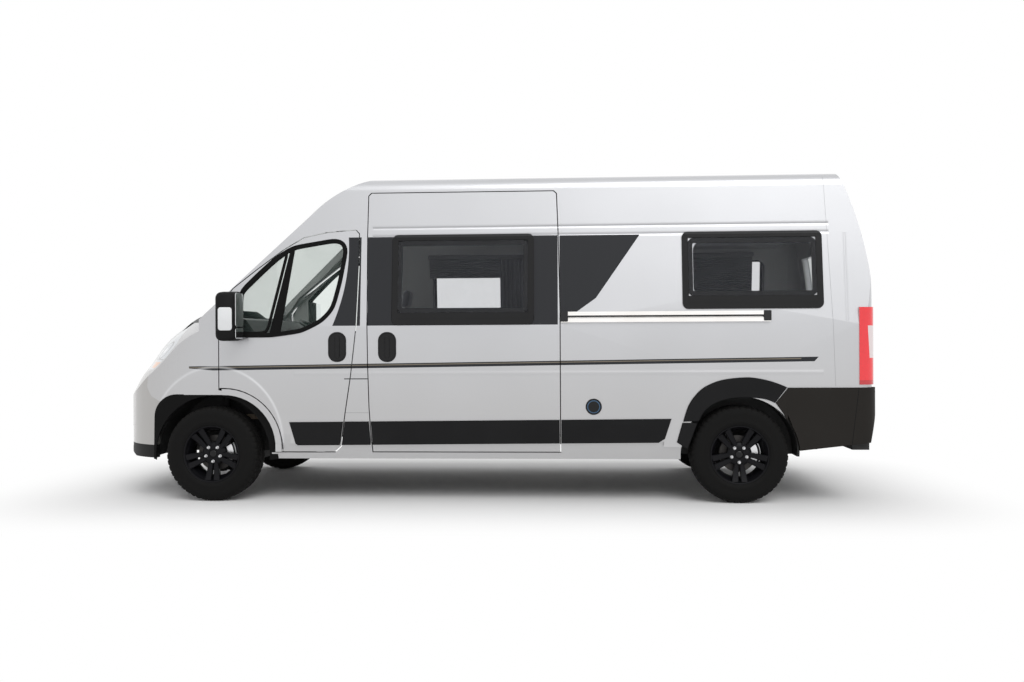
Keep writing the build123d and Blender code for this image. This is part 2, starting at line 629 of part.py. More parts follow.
# ---- cab and living space -------------------------------------------------------
with BuildPart() as dash:
    with BuildSketch(Plane.XZ.offset(-(inner_y - 60))):
        with BuildLine():
            Polyline((firewall_x - 150, cowl_z + 2), (firewall_x + 10, cowl_z + 45),
                     (firewall_x + 215, cowl_z + 20), (firewall_x + 290, cowl_z - 90),
                     (firewall_x + 250, cowl_z - 260), (firewall_x + 150, cowl_z - 480),
                     (firewall_x + 4, cowl_z - 480), (firewall_x + 4, cowl_z + 2), close=True)
        make_face()
    extrude(amount=2 * (inner_y - 60))
wheel_tilt = 28.0
wheel_centre = (firewall_x + 455, 400.0, cowl_z - 60)
wheel_place = Pos(*wheel_centre) * Rot(0, 0, 90) * Rot(wheel_tilt, 0, 0)
with BuildPart() as hand_wheel:
    Torus(185, 15)
    with Locations((0, 0, -18)):
        Cylinder(52, 30)
    with Locations((0, 0, -12)):
        Box(350, 26, 14)
    with Locations((0, -92, -12)):
        Box(26, 170, 14)
    with Locations((0, 0, -125)):
        Cylinder(20, 210)
save(wheel_place * hand_wheel.part, "steering_wheel")

shroud = wheel_place * (Pos(0, 0, -235) * Cylinder(46, 150) - Pos(0, 0, -200) * Cylinder(20.3, 80))
column_mount = block(firewall_x + 200, firewall_x + 345, 345, 455, cowl_z - 290, cowl_z - 170) - wheel_place * Pos(
    0, 0, -200) * Cylinder(44, 80)
dashboard = (dash.part & inner) - block(firewall_x - 400, firewall_x + 4, -1400, 1400, 0, cowl_z + 2)
dashboard = dashboard + column_mount - front_inner
save(dashboard + shroud, "dashboard")

seat_x = front_axle_x + 920
seats = Part()
for side, name in ((-1, "left"), (1, "right")):
    with BuildPart() as seat:
        with Locations((seat_x, side * 430, floor_z + 110)):
            Box(380, 400, 220)
        with Locations((seat_x - 10, side * 430, floor_z + 280)):
            Box(520, 520, 130)
        fillet(seat.edges().filter_by(Axis.Z), 30)
        with Locations(Pos(seat_x + 285, side * 430, floor_z + 610) * Rot(0, 12, 0)):
            Box(120, 500, 640)
        with Locations(Pos(seat_x + 365, side * 430, floor_z + 1010) * Rot(0, 12, 0)):
            Box(90, 270, 190)
    seats = seats + seat.part
save(seats, "cab_seats")

def carcass(x0, x1, y0, y1, z0, z1, board, open_side):
    """A furniture box of boards, open on one face."""
    cut = [x0 + board, x1 - board, y0 + board, y1 - board, z0 + board, z1 - board]
    index = {"x0": 0, "x1": 1, "y0": 2, "y1": 3, "z0": 4, "z1": 5}[open_side]
    cut[index] += (-40 if index % 2 == 0 else 40) - (board if index % 2 == 0 else -board)
    return block(x0, x1, y0, y1, z0, z1) - block(*cut)


wall_y = half - wall - 3
kitchen = carcass(kitchen_x[0] + 100, kitchen_x[1] + 150, wall_y - 520, wall_y, floor_z, 1330, 22, "y0")
save(kitchen & inner, "kitchen_unit")
washroom = carcass(sliding_rear + 60, rear_axle_x - 460, -wall_y, -wall_y + 760, floor_z, 2330, 24, "x0")
save(washroom & inner, "washroom")
bench_end = door_face_x - 125
bench = carcass(rear_axle_x - 440, bench_end, -wall_y, -wall_y + 620, floor_z, 1010, 22, "y1") + carcass(
    rear_axle_x - 440, bench_end, wall_y - 620, wall_y, floor_z, 1010, 22, "y0")
bench = bench - disc(rear_axle_x, axle_z, rear_arch_r + 19, -1400, 1400)
save(bench & inner, "rear_benches")
lockers = carcass(sliding_rear + 60, tail_x - 330, wall_y - 390, wall_y - 60, 2080, 2330, 16, "y0")
save(lockers & inner, "overhead_lockers")

# ---- running gear ------------------------------------------------------------------
subframe = block(front_axle_x - 190, front_axle_x + 190, -420, 420, 250, 320) + block(
    front_axle_x - 190, front_axle_x - 120, -400, 400, 320, 430)
arms = block(front_axle_x - 70, front_axle_x + 90, 380, kingpin_y - 45, 205, 255) + block(
    front_axle_x - 70, front_axle_x + 90, -kingpin_y + 45, -380, 205, 255)
pins = Pos(front_axle_x, kingpin_y, 230) * Cylinder(34, 50) + Pos(front_axle_x, -kingpin_y, 230) * Cylinder(34, 50)
arms = arms + block(front_axle_x - 34, front_axle_x + 34, kingpin_y - 50, kingpin_y, 210, 250) + block(
    front_axle_x - 34, front_axle_x + 34, -kingpin_y, -kingpin_y + 50, 210, 250)
pins = pins - Pos(front_axle_x, kingpin_y, 240) * Cylinder(14.3, 60) - Pos(front_axle_x, -kingpin_y, 240) * Cylinder(14.3, 60)
arms = arms - Pos(front_axle_x, kingpin_y, 240) * Cylinder(14.3, 60) - Pos(front_axle_x, -kingpin_y, 240) * Cylinder(14.3, 60)
legs = block(front_axle_x - 60, front_axle_x + 60, -460, -400, 320, 470) + block(front_axle_x - 60, front_axle_x + 60, 400, 460, 320, 470)

for side, name in ((-1, "left"), (1, "right")):
    with BuildPart() as strut:
        with BuildSketch(Plane((front_axle_x, side * 610, 905), z_dir=(0, side * 0.32, -1))):
            Circle(34)
        extrude(amount=400)
        with Locations((front_axle_x, side * (kingpin_y - 25), 510)):
            Box(90, 100, 30)
        with Locations((front_axle_x, side * kingpin_y, 510)):
            Cylinder(14.3, 60, mode=Mode.SUBTRACT)
    front_inner = front_inner + strut.part
    with BuildPart() as knuckle:
        with Locations((front_axle_x, side * kingpin_y, 372)):
            Box(92, 70, 230)
        with Locations((front_axle_x + 80, side * (kingpin_y - 8), 330)):
            Box(190, 44, 34)
        with Locations(Pos(front_axle_x, side * (kingpin_y + 45), axle_z) * Rot(90, 0, 0)):
            Cylinder(52, 70)
        with Locations(Pos(front_axle_x, side * (kingpin_y + 85), axle_z) * Rot(90, 0, 0)):
            Cylinder(17, 180)
        with Locations((front_axle_x, side * kingpin_y, 365)):
            Cylinder(14, 300)
    save(knuckle.part, "knuckle_" + name)

save(front_inner, "front_structure")

with BuildPart() as rack:
    with Locations(Pos(rack_x, 0, 385) * Rot(90, 0, 0)):
        Cylinder(14, 2 * (kingpin_y - 8) + 30)
    for side in (-1, 1):
        with Locations((rack_x, side * (kingpin_y - 8), 376)):
            Cylinder(20, 40)
save(rack.part, "steering_rack")
rack_box = (disc(rack_x, 385, 34, -300, 300) - disc(rack_x, 385, 14.3, -400, 400)) + block(
    rack_x - 20, rack_x + 20, -280, -200, 318, 356) + block(rack_x - 20, rack_x + 20, 200, 280, 318, 356)
save(subframe + arms + pins + legs + rack_box, "front_subframe")

rear_axle = disc(rear_axle_x, axle_z - 40, 42, -(rear_wheel_y - 160), rear_wheel_y - 160)
for side in (-1, 1):
    rear_axle = rear_axle + disc(rear_axle_x, axle_z, 70, side * (rear_wheel_y - 175), side * (rear_wheel_y - 75))
    rear_axle = rear_axle + disc(rear_axle_x, axle_z, 17, side * (rear_wheel_y - 100), side * (rear_wheel_y + 45))
    rear_axle = rear_axle + block(rear_axle_x - 45, rear_axle_x + 45, side * (rear_wheel_y - 240), side * (rear_wheel_y - 160), axle_z - 75, axle_z + 60)
for side in (-1, 1):
    leafspring = block(rear_axle_x - 640, rear_axle_x + 640, side * 580, side * 640, axle_z + 3, axle_z + 25)
    hangers = block(rear_axle_x - 660, rear_axle_x - 600, side * 575, side * 645, axle_z + 3, floor_z - floor_thick - 80) + block(
        rear_axle_x + 600, rear_axle_x + 660, side * 575, side * 645, axle_z + 3, floor_z - floor_thick - 80)
    saddle = block(rear_axle_x - 50, rear_axle_x + 50, side * 580, side * 640, axle_z - 30, axle_z + 25)
    piece = leafspring + hangers + saddle
    rear_axle = rear_axle + piece
save(rear_axle, "rear_axle")
save(block(front_axle_x + 1200, front_axle_x + 2150, -900, -500, 330, floor_z - floor_thick - 80), "fuel_tank")
exhaust = (Pos(front_axle_x + 1700, 250, 400) * Rot(0, 90, 0) * Cylinder(32, 2600)) + (
    Pos(front_axle_x + 2600, 250, 400) * Rot(0, 90, 0) * Cylinder(95, 620)) + block(
    front_axle_x + 1290, front_axle_x + 1310, 240, 260, 420, floor_z - floor_thick)
save(exhaust, "exhaust")

# ---- wheels --------------------------------------------------------------------------
def tyre_shape():
    r = tyre_diameter / 2
    w = tyre_width / 2
    bead = rim_flange_diameter / 2 - 8
    with BuildPart() as tyre:
        with BuildSketch(Plane.XY):
            with BuildLine():
                Polyline((bead, -w + 18), (bead + 30, -w + 3), (r - 55, -w), (r - 14, -w + 14), (r, -w + 42),
                         (r, w - 42), (r - 14, w - 14), (r - 55, w), (bead + 30, w - 3), (bead, w - 18), close=True)
            make_face()
        revolve(axis=Axis.Y, revolution_arc=360)
    return tyre.part


def rim_shape(side):
    """Alloy wheel with paired spokes; side is -1 or 1, the face looks that way."""
    flange = rim_flange_diameter / 2
    w = tyre_width / 2
    with BuildPart() as rim:
        with BuildSketch(Plane.XY):
            with BuildLine():
                Polyline((flange - 8, -w + 10), (flange, -w + 10), (flange, -w + 18), (flange - 8, -w + 18),
                         (flange - 8, w - 18), (flange, w - 18), (flange, w - 10), (flange - 20, w - 10),
                         (flange - 28, w - 40), (flange - 28, -w + 30), close=True)
            make_face()
        revolve(axis=Axis.Y, revolution_arc=360)
        with Locations(Pos(0, -side * -(w + 8 - 30), 0) * Rot(90, 0, 0)):
            Cylinder(88, 44)
        for turn in range(5):
            for lean_angle in (-11, 11):
                with Locations(Rot(0, 72 * turn + lean_angle, 0) * Pos(132, side * (w - 26), 0)):
                    Box(130, 32, 26)
        with Locations(Pos(0, side * (w - 72), 0) * Rot(90, 0, 0)):
            Cylinder(75, 66)
        with Locations(Pos(0, side * -8, 0) * Rot(90, 0, 0)):
            Cylinder(140, 22)
        with Locations(Pos(0, side * 5, 0) * Rot(90, 0, 0)):
            Cylinder(75, 20)
        with Locations(Pos(0, side * 15, 0) * Rot(90, 0, 0)):
            Cylinder(17.3, 80, mode=Mode.SUBTRACT)
    return rim.part


tyre = tyre_shape()
rims = {-1: rim_shape(-1), 1: rim_shape(1)}
for name, x, y, side in (("front_left", front_axle_x, -front_wheel_y, -1), ("front_right", front_axle_x, front_wheel_y, 1),
                         ("rear_left", rear_axle_x, -rear_wheel_y, -1), ("rear_right", rear_axle_x, rear_wheel_y, 1)):
    save(Pos(x, y, axle_z) * (tyre - rims[side]), "tyre_" + name)
    save(Pos(x, y, axle_z) * rims[side], "rim_" + name)
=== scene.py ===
"""A high-roof camper van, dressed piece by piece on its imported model. Metres, nose at -X, sliding door at -Y."""
import math

import bmesh
import bpy
from mathutils import Matrix, Vector


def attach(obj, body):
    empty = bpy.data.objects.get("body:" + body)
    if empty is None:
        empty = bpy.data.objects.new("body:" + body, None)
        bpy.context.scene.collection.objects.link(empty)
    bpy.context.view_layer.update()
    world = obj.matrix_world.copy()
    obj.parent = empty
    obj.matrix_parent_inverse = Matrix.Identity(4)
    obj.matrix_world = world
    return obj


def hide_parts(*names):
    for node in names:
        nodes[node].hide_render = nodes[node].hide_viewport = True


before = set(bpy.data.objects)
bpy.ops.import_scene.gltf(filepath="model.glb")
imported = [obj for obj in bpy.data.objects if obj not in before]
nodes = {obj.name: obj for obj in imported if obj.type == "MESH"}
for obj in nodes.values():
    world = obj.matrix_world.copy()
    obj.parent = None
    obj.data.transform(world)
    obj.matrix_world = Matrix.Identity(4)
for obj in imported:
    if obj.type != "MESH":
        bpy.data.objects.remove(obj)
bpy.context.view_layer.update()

# ---- Camera --------------------------------------------------------------------
# The camera stands at chest height beside the sliding door, square to the van apart from a few degrees.
# A lens a little wider than normal takes in the whole length from eight metres away.
camera_place = Vector((0.694, -8.199, 1.250))
camera_yaw, camera_pitch, camera_roll = 0.0578, -0.0031, -0.005
focal_pixels, frame_width = 950.0, 1024.0
sight = Vector((-math.sin(camera_yaw), math.cos(camera_yaw), camera_pitch))
camera_data = bpy.data.cameras.new("camera")
camera_data.sensor_width = 36.0
camera_data.lens = 36.0 * focal_pixels / frame_width
camera = bpy.data.objects.new("camera", camera_data)
camera.location = camera_place
camera.rotation_mode = "QUATERNION"
camera.rotation_quaternion = sight.to_track_quat("-Z", "Y") @ Matrix.Rotation(camera_roll, 4, "Z").to_quaternion()
bpy.context.scene.collection.objects.link(camera)
bpy.context.scene.camera = camera
bpy.context.scene.view_settings.view_transform = "Standard"


# ---- Studio ----------------------------------------------------------------------
# A pale floor and a plain white surround, with one broad soft lamp high on the camera's side.
# A step away from the van the floor turns into the same white as the surround, so no horizon shows.
class Wire:
    """A value in a node tree. Sums on it add the nodes that work them out."""

    def __init__(self, tree, socket=None):
        self.tree = tree
        self.socket = socket

    def node(self, kind, settings=None, values=None, out=0):
        """Adds a node of any type, its settings first and then its sockets' values or links."""
        new = self.tree.nodes.new("ShaderNode" + kind)
        for key, value in (settings or {}).items():
            if key == "stops":
                for index, (spot, colour) in enumerate(value):
                    stop = new.color_ramp.elements[index] if index < 2 else new.color_ramp.elements.new(spot)
                    stop.position = spot
                    stop.color = colour
            else:
                setattr(new, key, value)
        for key, value in (values or {}).items():
            if isinstance(value, Wire):
                self.tree.links.new(value.socket, new.inputs[key])
            else:
                new.inputs[key].default_value = value
        return Wire(self.tree, new.outputs[out])

    def math(self, operation, *values):
        return self.node("Math", {"operation": operation}, dict(enumerate(values)))

    def __add__(self, other):
        return self.math("ADD", self, other)

    def __sub__(self, other):
        return self.math("SUBTRACT", self, other)

    def __rsub__(self, other):
        return self.math("SUBTRACT", other, self)

    def __mul__(self, other):
        return self.math("MULTIPLY", self, other)

    def __truediv__(self, other):
        return self.math("DIVIDE", self, other)

    def __gt__(self, other):
        return self.math("GREATER_THAN", self, other)

    def __lt__(self, other):
        return self.math("LESS_THAN", self, other)

    def __or__(self, other):
        return self.math("MAXIMUM", self, other)

    def __abs__(self):
        return self.math("ABSOLUTE", self)

    __radd__ = __add__
    __rmul__ = __mul__

    def ridge(self, middle, width):
        """One at the middle, falling smoothly to nothing a few widths away."""
        off = (self - middle) / width
        return self.math("EXPONENT", off * off * -1.0)

    def between(self, low, high):
        return (self > low) * (self < high)

    def blend(self, first, second):
        """A colour between two colours, with this value as the share of the second."""
        return self.node("Mix", {"data_type": "RGBA"}, {0: self, 6: first, 7: second}, out=2)

    def axes(self):
        split = self.node("SeparateXYZ", None, {0: self})
        outputs = split.socket.node.outputs
        return [Wire(self.tree, outputs[index]) for index in range(3)]

    def grain(self, scale, detail=3.0, stretch=(1.0, 1.0, 1.0)):
        place = self.node("Mapping", None, {"Vector": self, "Scale": stretch})
        return self.node("TexNoise", None, {"Vector": place, "Scale": scale, "Detail": detail})

    def bump(self, strength, distance):
        return self.node("Bump", None, {"Strength": strength, "Distance": distance, "Height": self})


def rgb(red, green, blue):
    return (red, green, blue, 1.0)


def blank_material(name):
    """A new material, its node tree, the place on the object as a wire, and its shader."""
    made = bpy.data.materials.new(name)
    made.use_nodes = True
    tree = made.node_tree
    return made, tree, Wire(tree).node("TexCoord", out=3), tree.nodes["Principled BSDF"]


def material(name, varying, **fixed):
    """A material. varying(place) gives the sockets that change over the surface."""
    made, tree, place, shader = blank_material(name)
    for key, value in fixed.items():
        shader.inputs[key.replace("_", " ")].default_value = value
    for key, value in varying(place).items():
        tree.links.new(value.socket, shader.inputs[key])
    return made


def floor_look():
    made, tree, place, shader = blank_material("studio_floor")
    x, y, z = place.axes()
    beyond = [(abs(along) - reach) | 0.0 for along, reach in ((x, 2.7), (y, 0.8))]
    far = place.math("SQRT", beyond[0] * beyond[0] + beyond[1] * beyond[1])
    fade = place.node("MapRange", {"interpolation_type": "SMOOTHSTEP"}, {"Value": far, 1: 0.25, 2: 1.5})
    seen = place.node("LightPath", out=0) | place.node("LightPath", out=3)
    white = place.node("Emission", None, {"Color": rgb(1, 1, 1), "Strength": 1.0})
    matt = Wire(tree, shader.outputs[0])
    shader.inputs["Base Color"].default_value = rgb(0.93, 0.93, 0.93)
    shader.inputs["Roughness"].default_value = 0.9
    joined = place.node("MixShader", None, {0: fade * seen, 1: matt, 2: white})
    tree.links.new(joined.socket, tree.nodes["Material Output"].inputs["Surface"])
    return made


floor_mesh = bpy.data.meshes.new("studio_floor")
floor_reach = 60.0
floor_mesh.from_pydata([(-floor_reach, -floor_reach, 0), (floor_reach, -floor_reach, 0),
                        (floor_reach, floor_reach, 0), (-floor_reach, floor_reach, 0)], [], [(0, 1, 2, 3)])
floor_mesh.materials.append(floor_look())
studio_floor = bpy.data.objects.new("studio_floor", floor_mesh)
bpy.context.scene.collection.objects.link(studio_floor)

world = bpy.data.worlds.new("surround")
world.use_nodes = True
bpy.context.scene.world = world
sky = Wire(world.node_tree)
ray = [sky.node("LightPath", out=index) for index in (0, 3, 6)]
seen_share = ray[0] | ray[1] | ray[2]
surround_level = 0.66
backdrop = world.node_tree.nodes["Background"]
backdrop.inputs["Color"].default_value = rgb(1, 1, 1)
level = surround_level + seen_share * (1.0 - surround_level)
world.node_tree.links.new(level.socket, backdrop.inputs["Strength"])

lamp_data = bpy.data.lights.new("soft_lamp", "SUN")
lamp_data.energy = 1.25
lamp_data.angle = math.radians(40)
lamp = bpy.data.objects.new("soft_lamp", lamp_data)
lamp.rotation_mode = "QUATERNION"
lamp.rotation_quaternion = Vector((-0.35, 0.95, -0.95)).to_track_quat("-Z", "Y")
bpy.context.scene.collection.objects.link(lamp)

# ---- Body paint ---------------------------------------------------------------------
# Pressed steel panels in pale silver metallic under clear coat, with film graphics on the flanks and pale lining
# inside. Swages are pressed into the sides above and below the belt, and the wheel openings are cut into them.
half_width = 1.015
belt_height, eaves_height = 1.345, 2.49
eaves_draw_in = 0.135
tail_face, tail_lean_start, tail_lean_radius = 2.972, 1.400, 2.72
wall_thickness, roof_inside, cab_front = 0.045, 2.462, -2.03
film_low, film_high = 1.350, 2.034
line_height, line_rise, line_front, line_broad, line_end = 1.0535, 0.0121, -2.235, 2.435, 2.548
silver, silver_shade = rgb(0.575, 0.58, 0.60), rgb(0.51, 0.515, 0.53)
# the body silver darkened and warmed as painted shade, for the low sides, the nose and the front bumper
silver_in_painted_shade = rgb(0.42, 0.41, 0.40)
film_black, film_gold = rgb(0.010, 0.011, 0.014), rgb(0.16, 0.135, 0.10)
moulding_grey, moulding_brown = rgb(0.0045, 0.0045, 0.0045), rgb(0.011, 0.0095, 0.008)
groove_grey = rgb(0.16, 0.16, 0.17)
lining = rgb(0.47, 0.475, 0.47)
gutters = (2.105, 2.040)
lower_swage = 0.985
flare_middle, flare_reach = (-2.02, 0.46), (0.53, 0.577)


def paint_look(place):
    x, y, z = place.axes()
    out = abs(y)
    above = (z - belt_height) | 0.0
    skin = half_width - above * (eaves_draw_in / (eaves_height - belt_height))
    lean = (z - tail_lean_start) | 0.0
    tail = tail_face - lean * lean * (0.5 / tail_lean_radius)
    inside = (out < skin - wall_thickness) * (x < tail - wall_thickness) * (z < roof_inside) * (x > cab_front)
    # a soft swell round the front wheel as a bump, with a highlight painted pale along the crease where it starts
    swell = place.math("POWER", abs(x - flare_middle[0]) / flare_reach[0], 2.0)
    swell = swell + place.math("POWER", abs(z - flare_middle[1]) / flare_reach[1], 2.0)
    near_wheel = (z > 0.45) * (x < -1.47) * (out > 0.90)
    painted_crease_highlight = swell.ridge(1.0, 0.035) * near_wheel
    swollen = place.node("MapRange", {"interpolation_type": "SMOOTHSTEP"}, {"Value": swell, 1: 1.05, 2: 0.95})
    swollen = swollen * near_wheel
    flank = out > 0.86
    # window-height film: sliding door, B pillar, cab door corner and the cut shape behind the door
    band = z.between(film_low, film_high)
    drop = 1.93 - z
    door_front = -0.983 - drop * drop * 0.35
    film = band * (x.between(-0.836, 0.626) | ((x > door_front) * (x < -0.886)))
    cut_a = 1.249 - (2.032 - z) * 0.695
    cut_b = 0.914 - (1.550 - z) * 1.406
    film = film | (z.between(1.445, 2.032) * (x > 0.640) * (x < cut_a) * (x < cut_b) * (y < 0.0))
    # twin line along the side, rising a little to the rear, with one broad end
    start = place.math("MINIMUM", (x + 2.24) * 5.0, 1.0) | 0.0
    off = z - (line_height + x * line_rise)
    run = (x > line_front) * (x < line_end + off * 0.9)
    line = run * ((off * -1.0).between(-0.001, 0.018) | off.between(0.008, 0.016)) * (off > start * -0.018)
    line = line | (x.between(line_broad, 2.6) * run * off.between(-0.018, 0.016))
    gold = run * off.between(0.001, 0.008) * (x < line_broad)
    outside = 1.0 - inside
    film = (film | line) * flank * outside
    gold = gold * flank * outside
    # fine pressed lines: double gutter, tail corner joint and the fuel flap in the pillar behind the cab door
    side_run = x.between(-0.80, 2.66)
    gutter = (z.ridge(gutters[0], 0.005) + z.ridge(gutters[1], 0.004)) * side_run * flank
    corner = (x + z * 0.034).between(2.7145, 2.7170) * flank * (z > 0.88)
    flap = x.between(-1.010, -0.822)
    flap_top = flap * z.between(0.940, 0.9475)
    flap_low = flap * z.between(0.6835, 0.6860)
    groove = (gutter * 0.6 | corner * 0.45 | flap_low * 0.8) * outside
    cloud = place.grain(1.3, 2.0)
    # painted shade: the silver is blended to a darker, warmer silver towards the bottom of the sides and towards the
    # nose
    painted_low_shade = place.node("MapRange", None, {"Value": z, 1: 1.35, 2: 0.70}) * 0.45
    painted_nose_shade = place.node("MapRange", None, {"Value": x, 1: -1.90, 2: -2.75}) * 0.75
    colour = (painted_low_shade | painted_nose_shade).blend(cloud.blend(silver, silver_shade), silver_in_painted_shade)
    colour = groove.blend(colour, groove_grey)
    colour = (film | (flap_top * flank * outside)).blend(colour, film_black)
    colour = gold.blend(colour, film_gold)
    # painted highlight: a pale line along the crease of the swell
    colour = (painted_crease_highlight * 0.35).blend(colour, rgb(0.80, 0.81, 0.83))
    colour = inside.blend(colour, lining)
    flake = place.grain(900.0, 1.0)
    rough = 0.30 + flake * 0.10 + film * 0.16 + inside * 0.34
    metal = (1.0 - (film | gold)) * outside * 0.74
    coat = outside * (0.80 - film * 0.62)
    lower = z.ridge(lower_swage, 0.014)
    upper = (out > 0.90) * side_run * (z.ridge(gutters[0], 0.009) + z.ridge(gutters[1], 0.009))
    quarter = x.ridge(2.774, 0.010) * z.between(1.37, 2.03) * flank
    roof_ribs = (z > 2.47) * (out < 0.70) * (1.0 + place.math("SINE", y * 28.0)) * 0.5
    relief = (out > 0.98) * lower * 0.6 * x.between(-1.4, 2.6) - upper - quarter * 0.5 + roof_ribs * 0.8
    relief = relief - corner * 0.25 + swollen
    pebble = place.grain(520.0, 2.0) * inside * 0.05
    return {
        "Base Color": colour, "Roughness": rough, "Metallic": metal, "Coat Weight": coat,
        "Normal": (relief + pebble).bump(0.8, 0.005),
    }


silver_paint = material("silver_paint", paint_look, Coat_Roughness=0.04, Specular_IOR_Level=0.25)


def dress(look, *names):
    """Gives CAD nodes a finish."""
    for name in names:
        nodes[name].data.materials.clear()
        nodes[name].data.materials.append(look)


dress(silver_paint, "roof", "windscreen_frame", "bonnet", "rear_door_left", "rear_door_right")


def add(name, mesh, look, body, matrix=None, smooth=38, hides=()):
    """Puts a mesh in the scene, on its body and with its finish. hides names the CAD nodes it stands for."""
    piece = bpy.data.objects.new(name, mesh)
    bpy.context.scene.collection.objects.link(piece)
    if matrix is not None:
        mesh.transform(matrix)
        if matrix.determinant() < 0:
            mesh.flip_normals()
    mesh.materials.clear()
    mesh.materials.append(look)
    for face in mesh.polygons:
        face.use_smooth = True
    mesh.set_sharp_from_angle(angle=math.radians(smooth))
    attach(piece, body)
    if hides:
        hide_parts(*hides)
    return piece


def layered(rings, closed=True):
    """A skin through rings of equally many points. If closed, each end gets one face."""
    mesh = bpy.data.meshes.new("layered")
    count = len(rings[0])
    points = [point for ring in rings for point in ring]
    faces = []
    for level in range(len(rings) - 1):
        for index in range(count):
            after = (index + 1) % count
            a, b = level * count, (level + 1) * count
            faces.append((a + index, a + after, b + after, b + index))
    if closed:
        faces.append(tuple(reversed(range(count))))
        faces.append(tuple(range((len(rings) - 1) * count, len(rings) * count)))
    mesh.from_pydata([tuple(point) for point in points], [], faces)
    mesh.update()
    return mesh


def outward(mesh):
    """Turns every face to look out of its closed shape."""
    made = bmesh.new()
    made.from_mesh(mesh)
    bmesh.ops.recalc_face_normals(made, faces=made.faces)
    made.to_mesh(mesh)
    made.free()
    return mesh


def stacked(sections, side=1):
    """A closed shape through (across, outline) sections on one side of the van, each outline in (x, z)."""
    return outward(layered([[(x, side * across, z) for x, z in outline] for across, outline in sections]))


def prism(outline, near, far):
    """A side outline in (x, z) carried across the van from near to far."""
    return stacked([(near, outline), (far, outline)])


def arc(middle, radius, start, finish, steps=12):
    """Points of a round stretch in (x, z); angles in degrees from +X towards +Z."""
    turns = [math.radians(start + (finish - start) * step / steps) for step in range(steps + 1)]
    return [(middle[0] + radius * math.cos(turn), middle[1] + radius * math.sin(turn)) for turn in turns]


def trimmed(node_name, cutters):
    """A copy of a panel with closed shapes cut away from it."""
    work = bpy.data.objects.new("work", nodes[node_name].data.copy())
    tools = [bpy.data.objects.new("tool", mesh) for mesh in cutters]
    for scrap in [work] + tools:
        bpy.context.scene.collection.objects.link(scrap)
    for tool in tools:
        cut = work.modifiers.new("cut", "BOOLEAN")
        cut.object, cut.operation, cut.solver = tool, "DIFFERENCE", "EXACT"
    bpy.context.view_layer.update()
    result = bpy.data.meshes.new_from_object(work.evaluated_get(bpy.context.evaluated_depsgraph_get()))
    for scrap in [work] + tools:
        bpy.data.objects.remove(scrap)
    return result


# the wheel openings: flat-topped at the front, round at the rear, and the lip that the cab door stops at
arch_top, arch_corner, arch_front = 0.822, 0.170, -2.508
arch_back_middle, arch_back_radius, arch_lip = (-1.950, 0.417), 0.405, 0.046
skirt_low, below_van, cut_near, cut_far, panel_angle = 0.385, 0.10, 0.60, 1.30, 7
front_opening = ([(arch_front, below_van)]
                 + arc((arch_front + arch_corner, arch_top - arch_corner), arch_corner, 180, 90)
                 + arc(arch_back_middle, arch_back_radius, 90, 0) + [(-1.545, below_van)])
door_edge_radius = arch_back_radius + arch_lip + 0.0075
door_edge = ([(-2.10, below_van), (-2.10, 0.8755)] + arc(arch_back_middle, door_edge_radius, 90, 0)
             + [(arch_back_middle[0] + door_edge_radius, below_van)])
rear_opening = [(1.604, 0.10), (1.604, 0.405), (1.628, 0.520), (1.662, 0.606), (1.705, 0.672), (1.760, 0.724),
                (1.848, 0.768), (1.920, 0.784), (1.995, 0.792), (2.070, 0.792), (2.140, 0.785), (2.244, 0.756),
                (2.295, 0.712), (2.335, 0.665), (2.362, 0.600), (2.377, 0.540), (2.380, 0.400), (2.380, 0.10)]
skin_stop = half_width + 0.0003
sides = ((-1, "left"), (1, "right"))
strip_zone = [(-1.60, 0.40), (2.36, 0.40), (2.36, 1.00), (-1.60, 1.00)]
# the rolled lip between the wheel opening and the door
lip = (arc(arch_back_middle, arch_back_radius, 92, 5) + [(-1.5465, skirt_low)]
       + [(arch_back_middle[0] + arch_back_radius + arch_lip, skirt_low)]
       + arc(arch_back_middle, arch_back_radius + arch_lip, 4, 92))
for side, hand in sides:
    reach = (side * cut_near, side * cut_far)
    strips_off = prism(strip_zone, side * skin_stop, side * 1.06)
    panels = [("wing_panel_", "wing_", "root", [prism(front_opening, *reach)]),
              ("cab_door_panel_", "cab_door_", "cab_door_" + hand, [prism(door_edge, *reach), strips_off.copy()]),
              ("side_panel_", "side_", "root", [strips_off.copy()])]
    for name, node, body, cutters in panels:
        add(name + hand, trimmed(node + hand, cutters), silver_paint, body, smooth=panel_angle,
            hides=[node + hand])
    if side < 0:
        add("sliding_door_panel", trimmed("sliding_door", [strips_off]), silver_paint, "root",
            smooth=panel_angle, hides=["sliding_door"])
    add("arch_lip_" + hand, stacked([(across, lip) for across in (0.955, 1.0135, 1.0170)], side), silver_paint, "root")

# ---- Bumpers, cladding and trim plastics -----------------------------------------------
# The rear bumper, sill strips and arch cladding are grained dark polypropylene; the front bumper skin is painted
# above a dark lower lip. Handles sit in oval black pockets, and the number plates are blank.
valance_height = 0.430
front_axle, rear_axle, axle_height = -2.051, 1.984, 0.365
strip_height, cladding_height, strip_edge = 0.011, 0.012, 0.004


def grained(colour, rough, scale=600.0):
    def look(place):
        tone = place.grain(3.0, 3.0)
        pebble = place.grain(scale, 2.0)
        pale = rgb(*[min(1.0, part * 1.35 + 0.004) for part in colour[:3]])
        return {
            "Base Color": tone.blend(colour, pale), "Roughness": rough + pebble * 0.12,
            "Normal": pebble.bump(0.35, 0.0008),
        }
    return look


